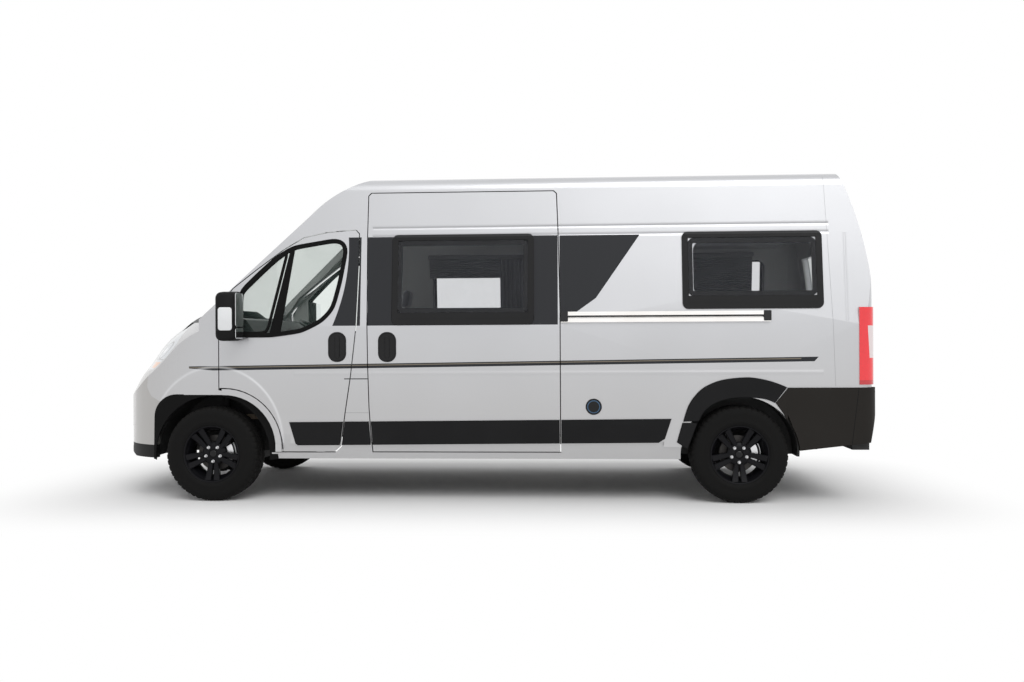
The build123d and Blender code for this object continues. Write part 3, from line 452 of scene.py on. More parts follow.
dark_plastic = material("dark_plastic", grained(rgb(0.0045, 0.0045, 0.005), 0.55), Specular_IOR_Level=0.14)
black_plastic = material("black_plastic", grained(rgb(0.008, 0.008, 0.009), 0.38), Specular_IOR_Level=0.35)
gloss_black = material("gloss_black", grained(rgb(0.0020, 0.0020, 0.0025), 0.16, 90.0), Coat_Weight=0.10,
                       Specular_IOR_Level=0.25)
plate_white = material("plate_white", grained(rgb(0.62, 0.62, 0.60), 0.35, 40.0))
filler_blue = material("filler_blue", grained(rgb(0.030, 0.075, 0.14), 0.35, 60.0))
rubber_seal = material("rubber_seal", grained(rgb(0.002, 0.002, 0.002), 0.65), Specular_IOR_Level=0.10)


def bumper_look(place):
    x, y, z = place.axes()
    lip = (z < valance_height) | ((x < -2.962) * z.between(0.515, 0.80) * (abs(y) > 0.30))
    cloud = place.grain(1.3, 2.0)
    pebble = place.grain(520.0, 2.0)
    # the painted skin is the body silver in painted shade, darker than the sides; the lip is its own black plastic
    colour = lip.blend(cloud.blend(silver_in_painted_shade, rgb(0.38, 0.37, 0.36)), moulding_grey)
    return {
        "Base Color": colour, "Roughness": 0.32 + lip * 0.25, "Metallic": (1.0 - lip) * 0.74,
        "Coat Weight": (1.0 - lip) * 0.80, "Normal": (pebble * lip).bump(0.3, 0.0006),
    }


def rear_bumper_look(place):
    x, y, z = place.axes()
    seam = (x - (z - 0.425) * 0.1217).between(2.7965, 2.8015) * (abs(y) > 0.93)
    reflector = (x > 2.985) * z.between(0.505, 0.545) * abs(y).between(0.70, 0.86)
    tone = place.grain(3.0, 3.0)
    pebble = place.grain(520.0, 2.0)
    colour = tone.blend(moulding_brown, rgb(0.015, 0.013, 0.011))
    colour = seam.blend(colour, rgb(0.002, 0.002, 0.002))
    colour = reflector.blend(colour, rgb(0.45, 0.010, 0.012))
    return {
        "Base Color": colour, "Roughness": 0.52 + pebble * 0.10 - reflector * 0.4,
        "Coat Weight": reflector * 1.0, "Normal": (pebble * 0.2 - seam).bump(0.4, 0.0020),
    }


front_bumper_paint = material("front_bumper_paint", bumper_look, Coat_Roughness=0.04, Specular_IOR_Level=0.25)
rear_bumper_skin = material("rear_bumper_skin", rear_bumper_look, Specular_IOR_Level=0.16)
plate_pocket = [(-3.05, 0.533), (-2.985, 0.533), (-2.985, 0.677), (-3.05, 0.677)]
front_cutters = [prism(front_opening, -cut_far, -cut_near), prism(front_opening, cut_near, cut_far),
                 prism(plate_pocket, -0.280, 0.280)]
add("front_bumper_skin", trimmed("bumper_front", front_cutters),
    front_bumper_paint, "root", smooth=20, hides=["bumper_front"])
under_slope = [(2.20, 0.20), (3.10, 0.20), (3.10, 0.478), (2.42, 0.400), (2.20, 0.400)]
back_slope = [(2.925, 0.38), (3.02, 0.38), (3.02, 0.80), (2.999, 0.70)]
rear_cutters = [prism(under_slope, -cut_far, cut_far), prism(back_slope, -cut_far, cut_far),
                prism(rear_opening, -cut_far, -0.7), prism(rear_opening, 0.7, cut_far)]
add("rear_bumper_moulding", trimmed("rear_bumper", rear_cutters),
    rear_bumper_skin, "root", smooth=20, hides=["rear_bumper"])
dress(black_plastic, "grille", "scuttle", "dashboard")


def rounded(x0, x1, y0, y1, radius, steps=8):
    """Corner-rounded rectangle as a closed list of points, counter-clockwise."""
    corners = ((x1 - radius, y1 - radius, 0), (x0 + radius, y1 - radius, 1), (x0 + radius, y0 + radius, 2),
               (x1 - radius, y0 + radius, 3))
    return [(x + radius * math.cos(turn), y + radius * math.sin(turn)) for x, y, quarter in corners
            for turn in [math.pi / 2 * (quarter + step / steps) for step in range(steps + 1)]]


def circle(middle_x, middle_y, radius, steps=24):
    """Points of a full circle, counter-clockwise."""
    turns = [2 * math.pi * step / steps for step in range(steps)]
    return [(middle_x + radius * math.cos(turn), middle_y + radius * math.sin(turn)) for turn in turns]


def shrunk(outline, amount):
    """The outline moved in by amount at every point, along the corner's own bisector."""
    count = len(outline)
    moved = []
    for index in range(count):
        before = Vector(outline[index]) - Vector(outline[index - 1])
        after = Vector(outline[(index + 1) % count]) - Vector(outline[index])
        before = before.normalized() if before.length > 1e-9 else after.normalized()
        after = after.normalized() if after.length > 1e-9 else before
        bisector = Vector((-before.y - after.y, before.x + after.x))
        length = max(bisector.length, 0.3)
        moved.append(tuple(Vector(outline[index]) + bisector / length * (2 * amount / length)))
    return moved


def plate(outline, low, high, edge=0.002):
    """A flat plate with eased edges from a counter-clockwise outline."""
    inner = shrunk(outline, edge)
    ease = min(edge, (high - low) / 2)
    steps = ((inner, low), (outline, low + ease), (outline, high - ease), (inner, high))
    return layered([[(x, y, height) for x, y in points] for points, height in steps])


def frame_ring(outline, width, low, high, edge=0.003):
    """A closed frame of the outline's shape: outer edge, rounded face, inner edge."""
    steps = [(0.0, low), (0.0, high - edge), (edge, high), (width - edge, high), (width, high - edge), (width, low)]
    rings = [[(x, y, height) for x, y in shrunk(outline, inset)] for inset, height in steps]
    return joined([layered(rings + [rings[0]], closed=False)], weld=1e-6)


def joined(parts, weld=None):
    """Several meshes as one. Points nearer than weld to each other become one point."""
    made = bmesh.new()
    for part in parts:
        made.from_mesh(part)
    if weld:
        bmesh.ops.remove_doubles(made, verts=made.verts, dist=weld)
    mesh = bpy.data.meshes.new("joined")
    made.to_mesh(mesh)
    made.free()
    return mesh


def through(points, steps=4):
    """A smooth run of points through the given ones."""
    run = []
    for index in range(len(points) - 1):
        a, b, c, d = [Vector(points[min(max(index + hop, 0), len(points) - 1)]) for hop in (-1, 0, 1, 2)]
        for step in range(steps):
            t = step / steps
            spot = 0.5 * (2 * b + (c - a) * t + (2 * a - 5 * b + 4 * c - d) * t ** 2 + (3 * b - a - 3 * c + d) * t ** 3)
            run.append(tuple(spot))
    return run + [tuple(points[-1])]


def on_flank(side):
    """Where flat work (along the van, height, out of the skin) lands on the upright part of one side."""
    return Matrix(((1, 0, 0, 0), (0, 0, side, side * half_width), (0, 1, 0, 0), (0, 0, 0, 1)))


def facing_back(x):
    """Where flat work (across the van, height, out of it) lands on a face that looks to the tail."""
    return Matrix(((0, 0, 1, x), (1, 0, 0, 0), (0, 1, 0, 0), (0, 0, 0, 1)))


on_tail = facing_back(tail_face)

# rubbing strips along the sills, one for each panel, and the three-piece cladding round the rear wheel
door_strip = [(-1.438, 0.613), (-1.389, 0.448), (-1.371, 0.435), (-1.0445, 0.437), (-1.0204, 0.616)]
pillar_strip = [(-1.0315, 0.438), (-0.8065, 0.4395), (-0.8205, 0.6185), (-1.0075, 0.617)]
sliding_strip = [(-0.7925, 0.440), (0.636, 0.452), (0.636, 0.6305), (-0.805, 0.6185)]
rear_strip_end = [(1.376, 0.458), (1.425, 0.488), (1.474, 0.638)]
side_strips = {"left": [pillar_strip, [(0.6495, 0.452)] + rear_strip_end + [(0.6495, 0.6305)]],
               "right": [[pillar_strip[0]] + rear_strip_end + [pillar_strip[3]]]}
cladding_outer = through([(2.33, 0.873), (2.25, 0.906), (2.141, 0.936), (2.018, 0.948), (1.846, 0.928), (1.722, 0.877),
                          (1.648, 0.81), (1.596, 0.728), (1.561, 0.617)])
cladding_inner = through([(1.675, 0.62), (1.722, 0.698), (1.808, 0.76), (1.919, 0.791), (2.041, 0.797), (2.164, 0.785),
                          (2.240, 0.757)])
cladding_foot = [(1.513, 0.462), (1.592, 0.41), (1.666, 0.607), (1.555, 0.608)]
cladding_tail = [(2.337, 0.868), (2.245, 0.757), (2.30, 0.68), (2.333, 0.62)]
# black liner between the wing's flat-topped opening and the round tub behind it
liner_low, tub_radius = 0.33, 0.450
opening_edge = [(arch_front - 0.006, liner_low)] + front_opening[1:-1] + [(-1.539, liner_low)]
liner = shrunk(opening_edge[::-1], -0.004) + arc((front_axle, axle_height), tub_radius, -6, 186, 40)[::-1]
for side, hand in sides:
    laid = on_flank(side)
    add("cab_door_strip_" + hand, plate(door_strip, 0.0, strip_height, strip_edge), dark_plastic, "cab_door_" + hand,
        laid)
    strips = [plate(strip, 0.0, strip_height, strip_edge) for strip in side_strips[hand]]
    add("sill_strip_" + hand, joined(strips), dark_plastic, "root", laid)
    *arch_parts, tail_part = [plate(part, 0.0, cladding_height, strip_edge)
                              for part in (cladding_outer + cladding_inner, cladding_foot, cladding_tail)]
    add("rear_arch_cladding_" + hand, joined(arch_parts), dark_plastic, "root", laid)
    add("rear_arch_tail_" + hand, tail_part, rear_bumper_skin, "root", laid)
    add("arch_liner_" + hand, prism(liner, side * 0.9705, side * 0.984), rubber_seal, "root")
add("sliding_door_strip", plate(sliding_strip, 0.0, strip_height, strip_edge), dark_plastic, "root",
    on_flank(-1))


def handle_mesh(along, up, wide=0.140, high=0.230, bar=(0.034, 0.170)):
    """An oval handle: raised rim, sunk dish and an upright bar to pull."""
    rim = rounded(along - wide / 2, along + wide / 2, up - high / 2, up + high / 2, wide * 0.47)
    dish = shrunk(rim, 0.009)
    grip = rounded(along - bar[0] / 2, along + bar[0] / 2, up - bar[1] / 2, up + bar[1] / 2, bar[0] * 0.45)
    return joined([frame_ring(rim, 0.012, 0.0, 0.0050, 0.002), plate(dish, -0.002, 0.0015, 0.001),
                   plate(grip, 0.003, 0.0105, 0.003)])


for side, hand in sides:
    add("cab_door_handle_" + hand, handle_mesh(-1.063, 1.188), gloss_black, "cab_door_" + hand,
        on_flank(side))
    barrels = [layered([[(x, y, height + lift) for x, y in circle(2.985, side * 0.8885, 0.0085)]
                        for lift in (-0.035, -0.012, 0.012, 0.035)]) for height in (1.002, 1.343)]
    add("rear_hinges_" + hand, joined(barrels), dark_plastic, "root")
add("sliding_door_handle", handle_mesh(-0.677, 1.186), gloss_black, "root", on_flank(-1))
add("rear_door_handle", handle_mesh(-0.067, 1.040, 0.080, 0.160, (0.024, 0.120)), gloss_black, "rear_door_left",
    on_tail)
# blank number plates and their holders, and the water filler in the side
for name, matrix, low, high, spot, body in (
        ("front", Matrix(((0, 0, -1, -2.9855), (-1, 0, 0, 0), (0, 1, 0, 0), (0, 0, 0, 1))), 0.545, 0.665, 0.0, "root"),
        ("rear", on_tail, 0.640, 0.755, -0.34, "rear_door_left")):
    holder = rounded(spot - 0.268, spot + 0.268, low - 0.008, high + 0.008, 0.012)
    blank = rounded(spot - 0.260, spot + 0.260, low, high, 0.010)
    add(name + "_plate_holder", plate(holder, -0.012, 0.005), black_plastic, body, matrix)
    add(name + "_plate", plate(blank, 0.004, 0.0085), plate_white, body, matrix)
filler = circle(0.893, 0.729, 0.061, 48)
add("water_filler", joined([frame_ring(filler, 0.012, 0.0, 0.006, 0.002), plate(shrunk(filler, 0.020), 0.0, 0.010)]),
    gloss_black, "root", on_flank(-1))
add("water_filler_ring", frame_ring(shrunk(filler, 0.0115), 0.009, 0.0, 0.0052, 0.001), filler_blue, "root",
    on_flank(-1))

# ---- Underbody -------------------------------------------------------------------------
# Floor pan, subframe, axle and knuckles in satin black chassis paint with road dust; cast engine block,
# aluminised exhaust and a moulded tank.


def chassis_look(place):
    x, y, z = place.axes()
    dust = place.grain(14.0, 5.0)
    low = place.node("MapRange", None, {"Value": z, 1: 0.62, 2: 0.25})
    in_arch = (abs(x - rear_axle).between(-1.0, 0.46) | (x < -1.5)) * (abs(y) > 0.60)
    lined = z.between(0.599, 0.640) * (x > cab_front) * (abs(y) < 0.96) * (1.0 - in_arch)
    colour = (dust * low * 0.3 * (1.0 - in_arch)).blend(rgb(0.007, 0.007, 0.007), rgb(0.060, 0.055, 0.048))
    tiles = place.grain(60.0, 4.0, (1.0, 9.0, 1.0))
    floor_colour = tiles.blend(rgb(0.30, 0.24, 0.18), rgb(0.20, 0.155, 0.115))
    return {
        "Base Color": lined.blend(colour, floor_colour), "Roughness": 0.55 + dust * 0.25 - lined * 0.15,
        "Normal": dust.bump(0.25, 0.002),
    }


chassis_black = material("chassis_black", chassis_look)
cast_metal = material("cast_metal", grained(rgb(0.22, 0.22, 0.23), 0.50, 220.0), Metallic=0.7)
exhaust_steel = material("exhaust_steel", grained(rgb(0.30, 0.28, 0.26), 0.42, 35.0), Metallic=0.85)
tank_plastic = material("tank_plastic", grained(rgb(0.020, 0.020, 0.020), 0.62, 200.0))
dress(chassis_black, "floor", "front_structure", "front_subframe", "knuckle_left", "knuckle_right", "rear_axle",
      "steering_rack")
dress(cast_metal, "engine")
dress(exhaust_steel, "exhaust")
dress(tank_plastic, "fuel_tank")

# ---- Glass --------------------------------------------------------------------------------
# Cab and rear glass is green-tinted safety glass; the living-room windows are grey acrylic double panes.
# Both let the room behind show and shine more at a glancing angle.


def see_through(name, tint, shade, shine, rough, glance):
    made, tree, place, shader = blank_material(name)
    haze = place.grain(7.0, 2.0)
    facing = place.node("LayerWeight", None, {"Blend": 0.35}, out=0)
    clear = place.node("BsdfTransparent", None, {"Color": tint})
    shader.inputs["Roughness"].default_value = rough
    pale = rgb(*[part * 1.6 for part in shade[:3]])
    tree.links.new(haze.blend(shade, pale).socket, shader.inputs["Base Color"])
    share = shine + facing * glance + haze * 0.03
    mixed = place.node("MixShader", None, {0: share, 1: clear, 2: Wire(tree, shader.outputs[0])})
    tree.links.new(mixed.socket, tree.nodes["Material Output"].inputs["Surface"])
    return made


green_glass = see_through("green_glass", rgb(0.975, 0.988, 0.980), rgb(0.16, 0.22, 0.20), 0.02, 0.02, 0.25)
grey_acrylic = see_through("grey_acrylic", rgb(0.970, 0.973, 0.978), rgb(0.10, 0.105, 0.12), 0.05, 0.04, 0.55)
smoked_dome = see_through("smoked_dome", rgb(0.40, 0.40, 0.41), rgb(0.10, 0.10, 0.10), 0.35, 0.12, 0.75)
dress(green_glass, "windscreen", "cab_glass_left", "cab_glass_right", "rear_glass_left", "rear_glass_right")
dress(smoked_dome, "rooflights")

lean_angle = math.atan(eaves_draw_in / (eaves_height - belt_height))


def on_side(side):
    """Where flat work (along the van, up the skin, out of it) lands on one side of the van."""
    up = Vector((0.0, -side * math.sin(lean_angle), math.cos(lean_angle)))
    along = Vector((-side, 0.0, 0.0))
    away = along.cross(up)
    turned = Matrix((along, up, away)).transposed().to_4x4()
    return Matrix.Translation((0.0, side * half_width, belt_height)) @ turned


def up_skin(z):
    """How far up the lean from the belt a height lies."""
    return (z - belt_height) / math.cos(lean_angle)


def on_lean(outline, side):
    """An (x, z) outline as flat work for on_side."""
    turned = [(-side * x, up_skin(z)) for x, z in outline]
    return turned if side < 0 else turned[::-1]


# rubber round the cab door window, the post that divides it and the black corner the mirror stands on
window_edge = [(-1.823, 1.276), (-1.576, 1.276), (-1.340, 1.308), (-1.186, 1.382), (-1.096, 1.481), (-1.044, 1.683),
               (-1.001, 1.934), (-1.029, 1.996), (-1.096, 2.017), (-1.420, 1.964), (-1.556, 1.882), (-1.691, 1.757),
               (-1.826, 1.622)]
window_post = [(-1.593, 1.275), (-1.508, 1.275), (-1.403, 1.975), (-1.437, 1.962)]
quarter_edge = [(-1.815, 1.285), (-1.600, 1.292), (-1.452, 1.945), (-1.560, 1.868), (-1.690, 1.745), (-1.835, 1.600)]
mirror_corner = [(-1.982, 1.292), (-1.822, 1.272), (-1.822, 1.628), (-1.982, 1.490)]


def eased(outline, rounds=2):
    """The outline with its corners cut off again and again, so they look round."""
    for _ in range(rounds):
        cut = []
        for index, point in enumerate(outline):
            a, b = Vector(point), Vector(outline[(index + 1) % len(outline)])
            share = min(0.25, 0.030 / max((b - a).length, 1e-6))
            cut += [tuple(a.lerp(b, share)), tuple(b.lerp(a, share))]
        outline = cut
    return outline


for side, hand in sides:
    laid, body = on_side(side), "cab_door_" + hand
    edge = shrunk(eased(on_lean(window_edge, side)), -0.012)
    seal = frame_ring(edge, 0.034, -0.012, 0.003, 0.002)
    add("cab_window_seal_" + hand, seal, rubber_seal, body, laid)
    post = joined([plate(on_lean(window_post, side), -0.014, 0.002, 0.002),
                   frame_ring(eased(on_lean(quarter_edge, side)), 0.020, -0.013, 0.0025, 0.002)])
    add("cab_window_post_" + hand, post, rubber_seal, body, laid)
    corner = plate(eased(on_lean(mirror_corner, side), 1), -0.014, 0.002, 0.002)
    add("mirror_corner_" + hand, corner, dark_plastic, body, laid)

# ---- Living-room windows ------------------------------------------------------------------
# Each is a black acrylic frame on the skin, a top-hung pane in it and a slim hinge strip above.
# They lie on the side's lean, so they are made flat and then laid on it.


def room_window(name, x0, x1, z0, z1, side, low_width, hides=()):
    """One framed acrylic window, x along the van and z as heights on the skin. Its pane stands for the CAD one."""
    left, right = (x0, x1) if side < 0 else (-x1, -x0)
    bottom, top = up_skin(z0), up_skin(z1)
    outline = rounded(left, right, bottom, top, 0.045)
    pane = rounded(left + window_frame - 0.006, right - window_frame + 0.006, bottom + low_width, top - window_frame,
                   0.05)
    sill = rounded(left + window_frame - 0.004, right - window_frame + 0.004, bottom + 0.02, bottom + low_width + 0.004,
                   0.01)
    strip = rounded(left + 0.02, right - 0.02, top - 0.022, top - 0.004, 0.006)
    for part, mesh, look, stands_for in (
            ("_frame", frame_ring(outline, window_frame, -0.004, 0.012), gloss_black, ()),
            ("_pane", plate(pane, -0.002, 0.008), grey_acrylic, hides),
            ("_border", frame_ring(shrunk(pane, 0.001), 0.038, -0.001, 0.0062, 0.001), gloss_black, ()),
            ("_sill", plate(sill, -0.003, 0.010), gloss_black, ()),
            ("_hinge", plate(strip, 0.006, 0.0135), black_plastic, ()),
            ("_liner", frame_ring(shrunk(outline, window_frame - 0.02), 0.030, -0.052, -0.006), lining_plastic, ())):
        add(name + part, mesh, look, "root", on_side(side), hides=stands_for)


lining_plastic = material("lining_plastic", grained(rgb(0.16, 0.16, 0.165), 0.55))
window_frame = 0.047
kitchen_place = (-0.643, 0.445, 1.353, 2.047)
lounge_place = (1.563, 2.606, 1.461, 2.047)
room_window("sliding_door_window", *kitchen_place, -1, 0.090, ["window_sliding_door"])
room_window("kitchen_window", *kitchen_place, 1, 0.090, ["side_windows"])
room_window("lounge_window_left", *lounge_place, -1, 0.096)
room_window("lounge_window_right", *lounge_place, 1, 0.096)

# ---- Wheels ---------------------------------------------------------------------------------
# Cast alloy wheels with five pairs of spokes in satin black, bright bolts and a plain cap, carrying road
# tyres with grooved ribs and cut shoulder blocks. A brake disc and caliper sit behind each.
tyre_radius, bead_radius = 0.365, 0.2125
tread_steps = 240
rib_grooves = (-0.050, -0.018, 0.018, 0.050)


def lathe(profile, steps, shift=None):
    """Turns a profile of (radius, across) points about the wheel's axle, which runs along Y."""
    rings = []
    for index in range(steps):
        turn = 2 * math.pi * index / steps
        ring = []
        for spot, (radius, across) in enumerate(profile):
            reach = radius - (shift(index, spot, radius, across) if shift else 0.0)
            ring.append((reach * math.cos(turn), across, reach * math.sin(turn)))
        rings.append(ring)
    mesh = bpy.data.meshes.new("turned")
    count = len(profile)
    faces = []
    for index in range(steps):
        a, b = index * count, ((index + 1) % steps) * count
        for spot in range(count - 1):
            faces.append((a + spot, b + spot, b + spot + 1, a + spot + 1))
    mesh.from_pydata([point for ring in rings for point in ring], [], faces)
    mesh.update()
    return mesh


def tyre_profile():
    side = [(bead_radius, -0.094), (bead_radius + 0.012, -0.1065), (bead_radius + 0.035, -0.1115),
            (bead_radius + 0.040, -0.1125), (bead_radius + 0.046, -0.1112), (0.290, -0.1122), (0.300, -0.1125),
            (0.318, -0.1118), (0.332, -0.1090), (0.345, -0.1035), (0.354, -0.0965), (0.359, -0.0880)]
    tread = []
    edges = [-0.080]
    for groove in rib_grooves:
        edges += [groove - 0.0055, groove - 0.0035, groove + 0.0035, groove + 0.0055]
    edges.append(0.080)
    for place, across in enumerate(edges):
        deep = 0.008 if place not in (0, len(edges) - 1) and (place - 1) % 4 in (1, 2) else 0.0
        crown = 0.003 * (across / 0.080) ** 2
        tread.append((tyre_radius - crown - deep, across))
    other = [(radius, -across) for radius, across in reversed(side)]
    return side + tread + other


def tread_cut(index, spot, radius, across):
    """How far a point of the tyre is cut back: slots across the shoulders and the outer ribs."""
    reach = abs(across)
    if reach > 0.112 or radius < 0.335:
        return 0.0
    if reach > 0.056:
        return 0.007 if index % 5 == 0 else 0.0
    if 0.022 < reach < 0.046:
        return 0.005 if (index + 2) % 5 == 0 else 0.0
    return 0.0


def rubber_look(place):
    x, y, z = place.axes()
    reach = place.math("SQRT", x * x + z * z)
    rings = place.math("SINE", reach * 1400.0) * reach.between(0.262, 0.330)
    dust = place.grain(24.0, 4.0)
    tread = reach > 0.345
    colour = (dust * (0.25 + tread * 0.3)).blend(rgb(0.0025, 0.0025, 0.0025), rgb(0.014, 0.013, 0.012))
    return {
        "Base Color": colour, "Roughness": 0.62 + dust * 0.2,
        "Normal": (rings * 0.12 + dust * 0.1).bump(0.4, 0.002),
    }


tyre_rubber = material("tyre_rubber", rubber_look, Specular_IOR_Level=0.14)
black_alloy = material("black_alloy", grained(rgb(0.0015, 0.0015, 0.0025), 0.36, 160.0), Metallic=0.2, Coat_Weight=0.03,
                       Specular_IOR_Level=0.16)
bright_steel = material("bright_steel", grained(rgb(0.62, 0.62, 0.63), 0.26, 120.0), Metallic=1.0)
brake_iron = material("brake_iron", grained(rgb(0.055, 0.052, 0.050), 0.45, 60.0), Metallic=0.8)


def rim_mesh():
    """The wheel with its face to +Y."""
    barrel = lathe([(0.196, -0.100), (0.2205, -0.104), (0.2225, -0.098), (0.2125, -0.092), (0.200, -0.070),
                    (0.186, -0.030), (0.186, 0.040), (0.198, 0.080), (0.2125, 0.092), (0.2205, 0.098),
                    (0.2215, 0.103), (0.2190, 0.106), (0.2110, 0.104), (0.2050, 0.094), (0.1960, 0.070),
                    (0.1800, 0.040), (0.1780, -0.030), (0.192, -0.070), (0.196, -0.100)], 96)
    hub = lathe([(0.0, 0.066), (0.030, 0.067), (0.032, 0.073), (0.044, 0.074), (0.074, 0.072), (0.088, 0.062),
                 (0.092, 0.030), (0.080, 0.010), (0.0, 0.010)], 60)
    parts = [barrel, hub]
    stations = ((0.070, 0.030, 0.052, 0.074), (0.100, 0.037, 0.046, 0.077), (0.140, 0.042, 0.050, 0.083),
                (0.175, 0.046, 0.058, 0.092), (0.2030, 0.049, 0.070, 0.100))
    for pair in range(5):
        for lean in (-1, 1):
            rings = []
            for radius, wide, back, front in stations:
                spread = lean * (0.020 + (radius - 0.070) * 0.115)
                rise = min(0.004, wide / 4)
                section = [(-wide / 2, back), (wide / 2, back), (wide / 2, front - rise), (wide / 2 - rise, front),
                           (-wide / 2 + rise, front), (-wide / 2, front - rise)]
                rings.append([(radius, across, spread + off) for off, across in section])
            spoke = layered(rings)
            spoke.transform(Matrix.Rotation(math.radians(72 * pair + 18), 4, "Y"))
            parts.append(spoke)
    return joined(parts)


def bolt_mesh():
    """Five wheel bolts with round shoulders and hexagon heads."""
    parts = []
    for turn in range(5):
        head = [[(x, across, z) for x, z in circle(0.0, 0.0, radius)]
                for radius, across in ((0.0125, 0.070), (0.0125, 0.077), (0.0105, 0.079))]
        for radius, across in ((0.0098, 0.079), (0.0098, 0.090), (0.0080, 0.092)):
            ring = []
            for step in range(24):
                angle = 2 * math.pi * step / 24
                flat = math.cos(math.pi / 6) / math.cos((angle % (math.pi / 3)) - math.pi / 6)
                ring.append((radius * flat * math.cos(angle), across, radius * flat * math.sin(angle)))
            head.append(ring)
        bolt = layered(head)
        angle = math.radians(72 * turn + 54)
        bolt.transform(Matrix.Translation((0.059 * math.cos(angle), 0.0, 0.059 * math.sin(angle))))
        bolt.flip_normals()
        parts.append(bolt)
    return joined(parts)


def cap_mesh():
    return lathe([(0.0, 0.0775), (0.014, 0.0772), (0.0245, 0.0755), (0.0275, 0.0735), (0.0300, 0.0675)], 48)


def disc_mesh():
    """A vented brake disc with a plain hat, its outer face to +Y."""
    return lathe([(0.045, -0.019), (0.082, -0.019), (0.084, -0.017), (0.138, -0.017), (0.140, -0.015), (0.140, -0.010),
                  (0.133, -0.009), (0.133, -0.007), (0.140, -0.006), (0.140, 0.001), (0.138, 0.003), (0.086, 0.003),
                  (0.083, 0.006), (0.081, 0.024), (0.078, 0.027), (0.045, 0.027), (0.045, -0.019)], 72)


def caliper_mesh():
    """A brake caliper over the rear edge of the disc: a jaw each side and the bridge beyond the rim of it."""
    parts = []
    for inner, outer, near, far in ((0.098, 0.166, 0.0065, 0.030), (0.098, 0.166, -0.046, -0.022),
                                    (0.144, 0.169, -0.046, 0.030)):
        curve = arc((0.0, 0.0), outer, -30, 30, 10) + arc((0.0, 0.0), inner, 30, -30, 10)
        parts.append(layered([[(x, across, z) for x, z in shrunk(curve, inset)] for across, inset in (
            (near, 0.003), (near + 0.003, 0.0), (far - 0.003, 0.0), (far, 0.003))]))
        parts[-1].flip_normals()
    return joined(parts)


wheel_bodies = (("front_left", front_axle, -0.905, -1), ("front_right", front_axle, 0.905, 1),
                ("rear_left", rear_axle, -0.895, -1), ("rear_right", rear_axle, 0.895, 1))
for place_name, axle_x, wheel_y, side in wheel_bodies:
    body = "wheel_" + place_name
    seat = Matrix.Translation((axle_x, wheel_y, axle_height)) @ Matrix.Diagonal((1, side, 1, 1))
    for label, mesh, look, slot, node in (
            ("tyre_tread_", lathe(tyre_profile(), tread_steps, tread_cut), tyre_rubber, "tyre", "tyre_"),
            ("wheel_rim_", rim_mesh(), black_alloy, "black_alloy", "rim_"),
            ("wheel_bolts_", bolt_mesh(), bright_steel, "steel", None),
            ("wheel_cap_", cap_mesh(), gloss_black, "black_plastic", None),
            ("brake_disc_", disc_mesh(), brake_iron, "cast_metal", None)):
        piece = add(label + place_name, mesh, look, body)
        if side < 0:
            piece.data.flip_normals()
        piece.parent = None
        piece.matrix_world = seat
        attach(piece, body)
        if node:
            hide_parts(node + place_name)
    holder = "front_hub_" + place_name[6:] if place_name.startswith("front") else "root"
    add("brake_caliper_" + place_name, caliper_mesh(), bright_steel, holder, seat)

# ---- Lamps -----------------------------------------------------------------------------------
# The headlamps sit high in the wings behind clear polycarbonate; the tail lamps are tall red columns on the
# rear corners with a clear reversing window.
lamp_red, lamp_clear, lamp_amber = rgb(0.88, 0.010, 0.022), rgb(0.72, 0.62, 0.62), rgb(0.85, 0.30, 0.03)


def tail_lamp_look(place):
    x, y, z = place.axes()
    fine = place.math("SINE", z * 900.0) * 0.5 + place.math("SINE", x * 900.0) * 0.5
    pale = z.between(1.09, 1.33) * (x > 2.935 - (z - 1.09) * 0.06)
    tone = place.grain(40.0, 2.0)
    colour = pale.blend(tone.blend(lamp_red, rgb(0.74, 0.008, 0.015)), lamp_clear)
    colour = (z.between(0.892, 0.925) * 0.6).blend(colour, rgb(0.30, 0.006, 0.010))
    return {"Base Color": colour, "Roughness": 0.08 + tone * 0.04, "Normal": fine.bump(0.15, 0.0008)}


tail_lamp = material("tail_lamp", tail_lamp_look, Coat_Weight=1.0, Emission_Strength=0.0)
dress(tail_lamp, "rear_lamps")


def headlamp_look(place):
    x, y, z = place.axes()
    out = abs(y)
    amber = z.between(1.028, 1.074) * out.between(0.80, 0.935)
    tone = place.grain(9.0, 2.0)
    colour = tone.blend(rgb(0.62, 0.66, 0.70), rgb(0.36, 0.39, 0.42))
    for cup_y, cup_z, reach in ((0.84, 1.165, 0.060), (0.74, 1.150, 0.050)):
        off = (out - cup_y) * (out - cup_y) + (z - cup_z) * (z - cup_z)
        away = place.math("SQRT", off)
        colour = away.between(reach, reach + 0.012).blend(colour, rgb(0.05, 0.05, 0.055))
        colour = (away < reach * 0.35).blend(colour, rgb(0.90, 0.92, 0.95))
    colour = (z.between(1.092, 1.098) | (z < 1.015)).blend(colour, rgb(0.04, 0.04, 0.045))
    colour = amber.blend(colour, lamp_amber)
    return {"Base Color": colour, "Roughness": 0.10 + tone * 0.06, "Metallic": 0.25 + tone * 0.3,
            "Normal": (tone * 0.2).bump(0.2, 0.001)}


headlamp_glass = material("headlamp_glass", headlamp_look, Coat_Weight=1.0)
dress(headlamp_glass, "headlamps")

